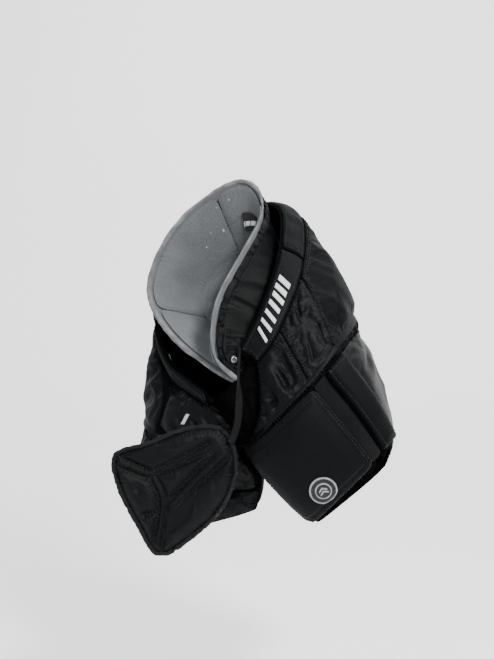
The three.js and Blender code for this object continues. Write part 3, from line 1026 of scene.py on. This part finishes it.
# %% Waistband
BANDS = ("left_waistband_front", "left_waistband_back", "right_waistband_front", "right_waistband_back")
bands = {}
for number, node in enumerate(BANDS):
    piece = sewn(node, BAND, hold=0.2)
    seam = Seam(node)
    spread_rim(piece, seam, 0.0012)
    fold(piece, seam, (0.6, 0.3, 0.7), 34 * MM, 0.7 * MM, seed=50 + number)
    gather(piece, seam, 1.3 * MM, 6 * MM, 5 * MM, seed=60 + number)
    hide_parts(node)
    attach(piece, "hips")
    stitches = stitch_row(node + "_stitches", Surface(piece), list(seam.inset(0.0045)) + [seam.inset(0.0045)[0]])
    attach(stitches, "hips")
    tape(node, seam, "hips")
    bands[node] = (piece, seam)
print("waistband lengths:", len(bands))


# %% Slanted print
def middle_line(piece, seam, direction, stations):
    """The line along the middle of a long piece's outer face."""
    points = points_of(piece)
    _, index = seam.near(points)
    facing = dot(normals_of(piece), seam.up[index]) > 0.5
    chosen = points[facing]
    along = chosen @ unit(np.array(direction, dtype=float))
    edges = np.linspace(along.min(), along.max(), stations + 1)
    return [chosen[(along >= a) & (along <= b)].mean(0) for a, b in zip(edges, edges[1:])]


PRINT_BARS = (0.17, 0.26, 0.35, 0.44, 0.53, 0.62, 0.71)     # places along the band, as shares of its length
PRINT_HEIGHT = 0.022
PRINT_LEAN = 0.007
band, band_seam = bands["left_waistband_front"]
band_line = resample(middle_line(band, band_seam, (0.75, 0.35, 0.9), 12), 0.002)
band_face = Surface(band)
for number, share in enumerate(PRINT_BARS):
    spot = int(share * (len(band_line) - 1))
    place, normal = band_face.on(band_line[spot])
    right = (Vector(band_line[spot + 3]) - Vector(band_line[spot - 3])).normalized()
    up = normal.cross(right).normalized() * -1
    up = up if up.x < 0 or up.z > 0 else -up
    wide = 0.0028 + 0.0004 * number
    low, high = -PRINT_HEIGHT / 2, PRINT_HEIGHT / 2
    bar = [(-wide - PRINT_LEAN, low), (wide - PRINT_LEAN, low), (wide + PRINT_LEAN, high), (-wide + PRINT_LEAN, high)]
    piece = stamp("slanted_bar_%d" % number, band_face, bar, place, right, up, 0.0007, PRINT_WHITE)
    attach(piece, "hips")
print("slanted bars:", len(PRINT_BARS))

# %% [markdown]
# ## The left thigh
# The square thigh block is a boxed foam pad with a raised chamfered face. Beside it run a stitched web in a
# channel and a long side block. Its crest is a plain ringed badge with two chevrons.

# %% Thigh block, web and side block
def sew_block(node, material, profile, gathers=(2.0, 8, 6), hold=0.3, rounding=0):
    piece = sewn(node, material, levels=4, hold=hold, rounding=rounding)
    seam = Seam(node)
    spread_rim(piece, seam, 0.0045 * rounding + 0.001, reach=0.03)
    swell(piece, seam, [(d * MM, h * MM) for d, h in profile])
    depth, reach, pitch = gathers
    gather(piece, seam, depth * MM, reach * MM, pitch * MM, seed=80)
    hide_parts(node)
    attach(piece, "left_leg")
    return piece, seam


BLOCK_PROFILE = [(0, 0), (11, 0.6), (15, 3.2), (30, 4.2), (60, 4.6)]
block, block_seam = sew_block("left_thigh_block", SHELL, BLOCK_PROFILE, (2.2, 11, 4.5), 0.25, 1)
side_block, side_block_seam = sew_block("left_side_block", SHELL, [(0, 0), (5, 0.8), (11, 2.4)],
                                        (1.2, 7, 6), 0.2, 0)
web, web_seam = sew_block("left_channel_web", WEBBING, [(0, 0), (8, 0.2)], gathers=(0.3, 4, 5))
block_face = Surface(block)
for number, inset in enumerate((0.003, 0.0075)):
    line = block_seam.stretch((0.7, 0.2, 0.65), inset, 0.5)
    row = stitch_row("block_stitches_%d" % number, block_face, line)
    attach(row, "left_leg")
line = side_block_seam.inset(0.004)
row = stitch_row("side_block_stitches", Surface(side_block), list(line) + [line[0]])
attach(row, "left_leg")
tape("left_thigh_block", block_seam, "left_leg", depth=0.022, half=0.011)
tape("left_side_block", side_block_seam, "left_leg", depth=0.014, half=0.011)
print("thigh block, side block and web sewn")

# %% Seam stitches of the shell
DOUBLE_STITCHED = {
    # node: (way towards the seam, body)
    "left_hip_pad": ((-0.7, -0.6, -0.2), "hips"),
    "left_front_yoke": ((-0.7, -0.2, -0.5), "hips"),
    "left_side_panel": ((-0.7, -0.6, 0.1), "left_leg"),
    "right_thigh_panel": ((0.1, -0.2, -1), "right_leg"),
    "right_front_panel": ((-0.6, 0.3, 0.5), "hips"),
}
for node, (way, body) in DOUBLE_STITCHED.items():
    piece, seam = shell[node]
    for number, inset in enumerate((0.003, 0.0065)):
        row = stitch_row("%s_stitches_%d" % (node, number), Surface(piece), seam.stretch(way, inset, 0.5))
        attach(row, body)
print("double-stitched seams:", len(DOUBLE_STITCHED))


# %% Badge
def ring(radius, count=40):
    return [(radius * math.cos(2 * math.pi * k / count), radius * math.sin(2 * math.pi * k / count)) for k in range(count)]


def chevron(width, height, rise, drop):
    """A V-shaped bar, `height` thick, whose point is `rise` above its ends."""
    return [(-width, drop), (0, drop + rise), (width, drop), (width, drop + height), (0, drop + rise + height),
            (-width, drop + height)]


badge_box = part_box("left_emblem")
badge_place, badge_normal = block_face.on((np.array(badge_box[0]) + np.array(badge_box[1])) / 2)
badge_right = Vector((0.86, 0.1, 0.5))
badge_right = (badge_right - badge_normal * badge_right.dot(badge_normal)).normalized()
badge_up = badge_right.cross(badge_normal).normalized()
badge_up = badge_up if badge_up.z > 0 else -badge_up
BADGE_LAYERS = (
    ("badge_edge", ring(0.021), 0.0008, SILVER),
    ("badge_field", ring(0.0185), 0.0012, CHARCOAL),
    ("badge_ring", ring(0.0125), 0.0016, SILVER),
    ("badge_heart", ring(0.0105), 0.0020, LABEL),
    ("badge_chevron_upper", chevron(0.0065, 0.0026, 0.004, 0.0), 0.0025, SILVER),
    ("badge_chevron_lower", chevron(0.0065, 0.0026, 0.004, -0.005), 0.0025, PRINT_GREY),
)
for number, (name, outline, thick, material) in enumerate(BADGE_LAYERS):
    piece = stamp(name, block_face, outline, badge_place, badge_right, badge_up, thick, material)
    if number == 0:
        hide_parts("left_emblem")
    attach(piece, "left_leg")
print("badge layers:", len(BADGE_LAYERS))

# %% [markdown]
# ## The floating inner belt
# Grey brushed pads line the inside of a satin cover. A pale rolled edge closes the rim: thick at the back and
# the wearer's right, and thin on the other side, where a black binding with close puckers shows instead.

# %% Inner belt
belt_cover = sewn("inner_belt_cover", SATIN, levels=4)
cover_seam = Seam("inner_belt_cover")
fold(belt_cover, cover_seam, (0.5, 0, 0.9), 33 * MM, 1.6 * MM, seed=88)
gather(belt_cover, cover_seam, 2.2 * MM, 16 * MM, 5.5 * MM, seed=90)
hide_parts("inner_belt_cover")
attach(belt_cover, "hips")
cover_face = Surface(belt_cover)
piping = ribbon("belt_piping", cover_face, cover_seam.inset(0.003), 0.011, 0.0026, BINDING, closed=True, ripple=0.22,
                lift=0.0042)
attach(piping, "hips")
line = cover_seam.inset(0.011)
row = stitch_row("belt_stitches", cover_face, list(line) + [line[0]], CHARCOAL, pitch=0.005, stitch=0.0032)
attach(row, "hips")

PADS = {
    # node: fold across, spacing, height
    "spine_pad": ((0.3, 0.3, 1), 60, 0.8),
    "tail_pad": ((1, 0.3, 0.2), 24, 1.4),
    "right_kidney_pad": ((0.3, 0.3, 1), 75, 1.0),
    "right_hip_liner_pad": ((0.3, 0.3, 1), 48, 1.0),
    "right_front_liner_pad": ((0.5, 0.3, 0.8), 48, 1.0),
    "left_kidney_pad": ((0.3, 0.3, 1), 48, 0.8),
}
pads = {}
for number, (node, (across, spacing, height)) in enumerate(PADS.items()):
    piece = sewn(node, LINER, hold=0.1)
    seam = Seam(node, rank=1)
    spread_rim(piece, seam, 0.0018, reach=0.012)
    fold(piece, seam, across, spacing * MM, height * MM, seed=110 + number)
    gather(piece, seam, 1.8 * MM, 9 * MM, 6 * MM, seed=100 + number)
    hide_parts(node)
    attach(piece, "hips")
    tape(node, seam, "hips", LINER, half=0.0075, depth=0.004)
    pads[node] = (piece, seam)

RIM_THINNING = 0.0026
rim = sewn("inner_rim_binding", RIM, levels=2, hold=0.0)
rim_points = points_of(rim)
thin = smooth_step(-0.10, -0.075, rim_points[:, 0]) * smooth_step(-0.295, -0.26, rim_points[:, 2])
thin *= 1 - smooth_step(-0.02, 0.02, rim_points[:, 2])
grip = 0.0004 * np.sin(rim_points[:, 2] * 900 + rim_points[:, 0] * 500)
set_points(rim, rim_points - normals_of(rim) * (0.0008 + thin * RIM_THINNING + grip)[:, None])
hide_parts("inner_rim_binding")
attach(rim, "hips")
print("inner belt pads:", len(pads))

# %% Leg liners and thigh plate
for node, leg in (("left_leg_liner", "left_leg"), ("right_leg_liner", "right_leg")):
    piece = sewn(node, KNIT, levels=2)
    seam = Seam(node)
    fold(piece, seam, (0.4, 0.3, 0.9), 42 * MM, 1.2 * MM, seed=140)
    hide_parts(node)
    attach(piece, leg)
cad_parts["left_thigh_plate"].data.materials[0] = PLATE


# %% Labels
def sewn_label(node, material, seed):
    piece = sewn(node, material, levels=2, hold=0.8)
    seam = Seam(node, rank=1)
    fold(piece, seam, (0.6, 0.2, 0.7), 22 * MM, 0.5 * MM, seed=seed)
    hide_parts(node)
    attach(piece, "hips")
    return piece, seam


label, label_seam = sewn_label("belt_label", LABEL, 150)
label_face = Surface(label)
label_middle = label_seam.points.mean(0)
label_right = Vector((0.95, -0.1, 0.25)).normalized()
label_up = Vector((-0.2, -0.45, 0.87)).normalized()
for number, (x, wide) in enumerate(((-0.013, 0.003), (-0.005, 0.0035), (0.004, 0.004), (0.013, 0.0032))):
    bar = [(x - wide - 0.0015, -0.004), (x + wide - 0.0015, -0.004), (x + wide + 0.0015, 0.004), (x - wide + 0.0015, 0.004)]
    piece = stamp("label_bar_%d" % number, label_face, bar, label_middle, label_right, label_up, 0.0004, PRINT_WHITE)
    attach(piece, "hips")
tag, tag_seam = sewn_label("size_tag", PRINT_GREY, 151)
tag_edge = ribbon("tag_edge", Surface(tag), tag_seam.inset(0.0025), 0.0032, 0.0005, BLUE, closed=True)
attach(tag_edge, "hips")
print("labels sewn in")

# %% Tongue with its snap
tongue = sewn("front_tongue", SATIN, levels=4)
tongue_seam = Seam("front_tongue")
fold(tongue, tongue_seam, (0.3, 0.2, 1), 17 * MM, 2.2 * MM, seed=131)
gather(tongue, tongue_seam, 3.4 * MM, 14 * MM, 4.5 * MM, seed=130)
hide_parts("front_tongue")
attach(tongue, "hips")
tongue_edge = ribbon("tongue_binding", Surface(tongue), tongue_seam.inset(0.002), 0.006, 0.0016, BINDING, closed=True, ripple=0.2)
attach(tongue_edge, "hips")


# %% Buttons
def turned(name, place, axis, profile, material, segments=28):
    """A round fitting: its profile is (radius, height) pairs, turned about its axis."""
    axis = Vector(axis).normalized()
    side = axis.orthogonal().normalized()
    other = axis.cross(side)
    verts = [place + axis * profile[0][1]]
    for radius, height in profile[1:-1]:
        for k in range(segments):
            angle = 2 * math.pi * k / segments
            verts.append(place + axis * height + (side * math.cos(angle) + other * math.sin(angle)) * radius)
    verts.append(place + axis * profile[-1][1])
    rings = len(profile) - 2
    faces = []
    for k in range(segments):
        j = (k + 1) % segments
        faces.append((0, 1 + k, 1 + j))
        for r in range(rings - 1):
            base = 1 + r * segments
            faces.append((base + k, base + segments + k, base + segments + j, base + j))
        base = 1 + (rings - 1) * segments
        faces.append((base + j, base + k, len(verts) - 1))
    mesh = bpy.data.meshes.new(name)
    mesh.from_pydata([v[:] for v in verts], [], faces)
    work = bmesh.new()
    work.from_mesh(mesh)
    bmesh.ops.recalc_face_normals(work, faces=work.faces)
    work.to_mesh(mesh)
    work.free()
    mesh.shade_smooth()
    return new_piece(name, mesh, material)


BUTTON_PROFILE = ((0, 0.9), (0.18, 0.9), (0.3, 0.6), (0.62, 0.55), (0.7, 1.0), (0.92, 0.85), (1, 0.3), (0.97, -0.8),
                  (0.6, -1), (0, -1))
for node in ("tongue_snap", "brace_button_front_left", "brace_button_side_left",
             "brace_button_front_right", "brace_button_side_right"):
    points = points_of(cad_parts[node])
    middle = (points.max(0) + points.min(0)) / 2
    _, spreads, axes = np.linalg.svd(points - points.mean(0), full_matrices=False)
    axis = Vector(axes[2])
    axis = axis if axis.dot(Vector((0.1, -1, 0.2))) > 0 else -axis
    half = float(np.abs((points - middle) @ np.array(axis)).max())
    radius = float(np.linalg.norm(points - middle - np.outer((points - middle) @ np.array(axis), np.array(axis)), axis=1).max())
    piece = turned(node + "_turned", Vector(middle), axis, [(r * radius, h * half) for r, h in BUTTON_PROFILE], METAL)
    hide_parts(node)
    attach(piece, "hips")
print("buttons turned")

# %% Small print and tag loop
thigh_face = Surface(shell["right_front_panel"][0])
small_bar = [(-0.008, -0.008), (-0.001, -0.008), (0.007, 0.008), (0.0, 0.008)]
piece = stamp("small_bar", thigh_face, small_bar, (-0.106, -0.17, -0.366), (0.9, -0.4, 0), (0, 0, 1), 0.0007, PRINT_WHITE)
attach(piece, "hips")


def tag_loop(name, start, drop, width, thick):
    """A thin clear loop that once held a price tag."""
    count = 36
    rings = []
    for k in range(count + 1):
        turn = 2 * math.pi * k / count
        rings.append(Vector(start) + Vector((width * math.sin(turn) + 0.002, 0, -drop * (1 - math.cos(turn)) / 2)))
    curve = bpy.data.curves.new(name, "CURVE")
    curve.dimensions = "3D"
    curve.bevel_depth = thick
    curve.bevel_resolution = 2
    spline = curve.splines.new("POLY")
    spline.points.add(len(rings) - 2)
    for point, place in zip(spline.points, rings):
        point.co = (*place, 1)
    spline.use_cyclic_u = True
    line = bpy.data.objects.new(name + "_line", curve)
    bpy.context.scene.collection.objects.link(line)
    bpy.context.view_layer.update()
    mesh = bpy.data.meshes.new_from_object(line.evaluated_get(bpy.context.evaluated_depsgraph_get()))
    bpy.data.objects.remove(line)
    mesh.materials.clear()
    mesh.shade_smooth()
    return new_piece(name, mesh, CLEAR)


side_points = points_of(shell["left_side_panel"][0])
loop_start = side_points[np.argmax(side_points[:, 0] - 0.3 * np.abs(side_points[:, 2] + 0.4))]
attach(tag_loop("tag_loop", loop_start, 0.022, 0.005, 0.0004), "left_leg")
print("small print and tag loop added")

# %% [markdown]
# ## The flap
# The flap is a quilt: wherever a line of stitches runs, the stuffing is pinched to nothing, and between the
# lines it swells. So the height of its face only depends on how far the nearest stitched line is. Two lines
# close together leave a thin tube between them. Places on it are shares of the flap's own box.

# %% Quilted flap
QUILT_LINES = [
    [(0.05, 0.77), (0.20, 0.70), (0.33, 0.655), (0.52, 0.74), (0.77, 0.87)],    # above the two top tubes
    [(0.04, 0.69), (0.18, 0.63), (0.31, 0.585), (0.345, 0.63), (0.56, 0.71), (0.81, 0.81)],
    [(0.31, 0.585), (0.385, 0.44), (0.36, 0.25), (0.32, 0.06)],                 # the tube to the lower tip
    [(0.345, 0.62), (0.45, 0.42), (0.42, 0.24), (0.40, 0.05)],
    [(0.45, 0.42), (0.62, 0.60), (0.82, 0.795)],                                # the tube below the middle
    [(0.505, 0.355), (0.70, 0.55), (0.95, 0.765)],
    [(0.25, 0.31), (0.38, 0.335)],                                              # a crease in the outer pad
]
QUILT_PITCH = 0.0016
FLAP_PUFF = 0.0105
PATCHES = {
    "flap_loop_upper": [(0.11, 0.77), (0.35, 0.86), (0.52, 0.80), (0.32, 0.68)],
    "flap_loop_lower": [(0.67, 0.50), (0.62, 0.29), (0.42, 0.14), (0.44, 0.33)],
}
PATCH_LEVEL = 0.0065
PUFF_REACH = 0.0085
FLAP_BACK = 0.010


def flap_place(box, share):
    (x0, y0, z0), (x1, _, z1) = box
    return np.array([x0 + (x1 - x0) * share[0], y0, z0 + (z1 - z0) * share[1]])


def distance_to_lines(points, lines):
    """Distance to the nearest line, and how far along it that place lies."""
    best = np.full(len(points), 1.0)
    run = np.zeros(len(points))
    for number, line in enumerate(lines):
        travelled = number * 0.37
        for a, b in zip(line, line[1:]):
            step = b - a
            share = np.clip((points - a) @ step / dot(step, step), 0, 1)
            gap = np.linalg.norm(points - a - share[:, None] * step, axis=1)
            nearer = gap < best
            best = np.where(nearer, gap, best)
            run = np.where(nearer, travelled + share * np.linalg.norm(step), run)
            travelled += np.linalg.norm(step)
    return best, run


def smooth_line(points, rounds=3):
    """Cuts the corners of a line, so that it bends softly."""
    line = [np.array(p) for p in points]
    for _ in range(rounds):
        cut = [line[0]]
        for a, b in zip(line, line[1:]):
            cut += [a * 0.75 + b * 0.25, a * 0.25 + b * 0.75]
        line = cut + [line[-1]]
    return line


def inside_patch(points, corners):
    """How deep each point lies inside a four-cornered patch, negative outside."""
    centre = sum(corners) / len(corners)
    depth = np.full(len(points), 1.0)
    for a, b in zip(corners, corners[1:] + corners[:1]):
        inward = np.array((b[2] - a[2], 0, a[0] - b[0]))
        inward = unit(inward) * np.sign(dot(inward, centre - a))
        depth = np.minimum(depth, (points - a) @ inward)
    return depth


def quilt_flap():
    """The flap's padded face, its rim and its flat back as one closed mesh."""
    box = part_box("flap_pad")
    rim = Seam("flap_pad").points
    front = float(rim[:, 1].min())
    work = bmesh.new()
    outline = resample(rim, 0.003, closed=True)[:-1]
    work.faces.new([work.verts.new((x, front, z)) for x, _, z in outline])
    cut_grid(work, QUILT_PITCH, (0, 2))
    bmesh.ops.triangulate(work, faces=[f for f in work.faces if len(f.verts) > 4])
    mesh = bpy.data.meshes.new("flap_quilt")
    work.to_mesh(mesh)
    work.free()
    piece = new_piece("flap_quilt", mesh, SATIN)
    points = points_of(piece)
    lines = [smooth_line([flap_place((box[0], box[1]), share) for share in line]) for line in QUILT_LINES]
    for line in lines:
        for point in line:
            point[1] = front
    to_line, run = distance_to_lines(points, lines)
    edge = list(outline) + [outline[0]]
    edge = [np.array((x, front, z)) for x, _, z in edge]
    to_edge, edge_run = distance_to_lines(points, [edge])
    depth = np.minimum(to_line, np.maximum(to_edge - 0.004, 0) * 0.9)
    along = np.where(to_line < to_edge, run, edge_run)
    pucker = np.sin(along / 0.0056 * 2 * math.pi + 1.7 * wander(along * 90, 5)) * np.exp(-((depth / 0.0075) ** 1.5))
    cushion = FLAP_PUFF * (1 - np.exp(-((depth / PUFF_REACH) ** 1.15)))
    slack = 0.0011 * wander(points[:, 0] * 150 + points[:, 2] * 70, 8) * smooth_step(0.004, 0.02, depth)
    ridge = 0.0013 * pucker * smooth_step(0, 0.0022, depth) * (0.7 + 0.4 * wander(along * 60, 6))
    dimple = 0.0035 * np.exp(-(np.linalg.norm(points - flap_place((box[0], box[1]), (0.21, 0.52)), axis=1) / 0.006) ** 2)
    height = cushion + slack + ridge - dimple + 0.0006
    for shares in PATCHES.values():
        corners = [flap_place(box, share) for share in shares]
        flat = smooth_step(-0.003, 0.002, inside_patch(points, corners))
        height = height * (1 - flat) + PATCH_LEVEL * flat
    points[:, 1] -= height
    set_points(piece, points)
    modifier = piece.modifiers.new("body", "SOLIDIFY")
    modifier.thickness = FLAP_BACK
    modifier.offset = -1 if normals_of(piece)[:, 1].mean() < 0 else 1
    apply_modifiers(piece)
    rear = points_of(piece)
    limit = front + FLAP_BACK
    rear[:, 1] = np.minimum(rear[:, 1], limit)
    set_points(piece, rear)
    soften(piece, 1)
    return piece, lines, edge


flap, quilt_lines, flap_edge = quilt_flap()
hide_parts("flap_pad")
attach(flap, "flap")
flap_face = Surface(flap)
print("flap quilted:", len(flap.data.polygons), "faces")

# %% Flap binding, patches and backing
def patch(name, node, shares, material, rise):
    """A hook-and-loop patch sewn on the quilt, with a row of stitches inside its edge."""
    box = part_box("flap_pad")
    corners = [flap_place(box, share) for share in shares]
    centre = sum(corners) / len(corners)
    outline = [Vector((c[0] - centre[0], c[2] - centre[2])) for c in corners]
    rounded = []
    for before, corner, after in zip(outline[-1:] + outline[:-1], outline, outline[1:] + outline[:1]):
        start = corner + (before - corner).normalized() * 0.004
        end = corner + (after - corner).normalized() * 0.004
        rounded += [start.lerp(corner, 0.0), start.lerp(corner, 0.6).lerp(end, 0.2), end]
    piece = stamp(name, flap_face, [tuple(p) for p in rounded], centre, (1, 0, 0), (0, 0, 1), rise, material)
    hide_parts(node)
    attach(piece, "flap")
    top = Surface(piece)
    inner = [centre + (corner - centre) * 0.86 - np.array((0, 0.01, 0)) for corner in corners]
    seam = stitch_row(name + "_stitches", top, inner + inner[:1])
    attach(seam, "flap")
    return piece


for node, shares in PATCHES.items():
    patch(node + "_pile", node, shares, LOOP, 0.0018)
binding = ribbon("flap_binding", flap_face, [p - np.array((0, 0.004, 0)) for p in flap_edge[:-1]], 0.0075, 0.0016,
                 BINDING, closed=True, ripple=0.12)
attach(binding, "flap")
for number, line in enumerate(quilt_lines):
    row = stitch_row("quilt_stitches_%d" % number, flap_face, [p - np.array((0, 0.004, 0)) for p in line],
                     CHARCOAL, pitch=0.0036, stitch=0.0024, thick=0.0004)
    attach(row, "flap")
backing = sewn("flap_shell", SHELL, levels=2, hold=0.6)
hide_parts("flap_shell")
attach(backing, "flap")
print("flap bound and patched")

# %% [markdown]
# ## The fly strap
# Flat webbing that leaves the end of the waistband edge-on, turns to face the front as it hangs, and ends in
# a sewn fold.

# %% Fly strap
STRAP_ROUTE = [
    (-12, -205, -250), (-12, -205, -258), (-12, -205.5, -267), (-12.5, -206.5, -278), (-13, -208, -290),
    (-13, -210, -302), (-12.5, -212, -314), (-12, -214, -326), (-12, -216, -338), (-12.5, -217.5, -350),
    (-13.5, -218.5, -361), (-15.5, -219.5, -371), (-18, -220, -380), (-21.5, -220, -388), (-25, -220, -395),
]
STRAP_HALF_WIDTH = 0.0054
STRAP_HALF_THICK = 0.0009
STRAP_FOLD = 0.014
route = [Vector(p) * MM for p in STRAP_ROUTE]
strap_length = sum((b - a).length for a, b in zip(route, route[1:]))


def weave_strap():
    """The webbing: a flat section swept down the route, turning from edge-on to face-on."""
    line = resample(route, 0.0016)
    section = [(-1, -0.5), (-0.93, -1), (0.93, -1), (1, -0.5), (1, 0.5), (0.93, 1), (-0.93, 1), (-1, 0.5)]
    verts, faces = [], []
    for index, place in enumerate(line):
        share = index / (len(line) - 1)
        along = Vector(line[min(index + 1, len(line) - 1)] - line[max(index - 1, 0)]).normalized()
        turn = math.radians(74) * (1 - smooth_step(0.35, 0.62, share))
        wide = Vector((math.cos(turn), -math.sin(turn), 0))
        wide = (wide - along * wide.dot(along)).normalized()
        flat = along.cross(wide)
        left_to_end = (1 - share) * strap_length
        doubled = 1 + 1.1 * float(smooth_step(STRAP_FOLD + 0.001, STRAP_FOLD - 0.001, np.array(left_to_end)))
        doubled = doubled if left_to_end > STRAP_FOLD - 0.001 else 2.1
        ribs = 1 + 0.04 * math.sin(index * 2.4)
        for x, y in section:
            verts.append(Vector(place) + wide * STRAP_HALF_WIDTH * x * ribs + flat * STRAP_HALF_THICK * y * doubled)
    size = len(section)
    for ring_number in range(len(line) - 1):
        for k in range(size):
            a = ring_number * size + k
            b = ring_number * size + (k + 1) % size
            faces.append((a, a + size, b + size, b))
    faces.append(tuple(range(size)))
    faces.append(tuple((len(line) - 1) * size + k for k in reversed(range(size))))
    mesh = bpy.data.meshes.new("fly_webbing")
    mesh.from_pydata([v[:] for v in verts], [], faces)
    work = bmesh.new()
    work.from_mesh(mesh)
    bmesh.ops.recalc_face_normals(work, faces=work.faces)
    work.to_mesh(mesh)
    work.free()
    mesh.shade_smooth()
    return new_piece("fly_webbing", mesh, WEBBING)


strap = weave_strap()
print("strap length", round(strap_length, 4))
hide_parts("fly_strap")
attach(strap, "hips")
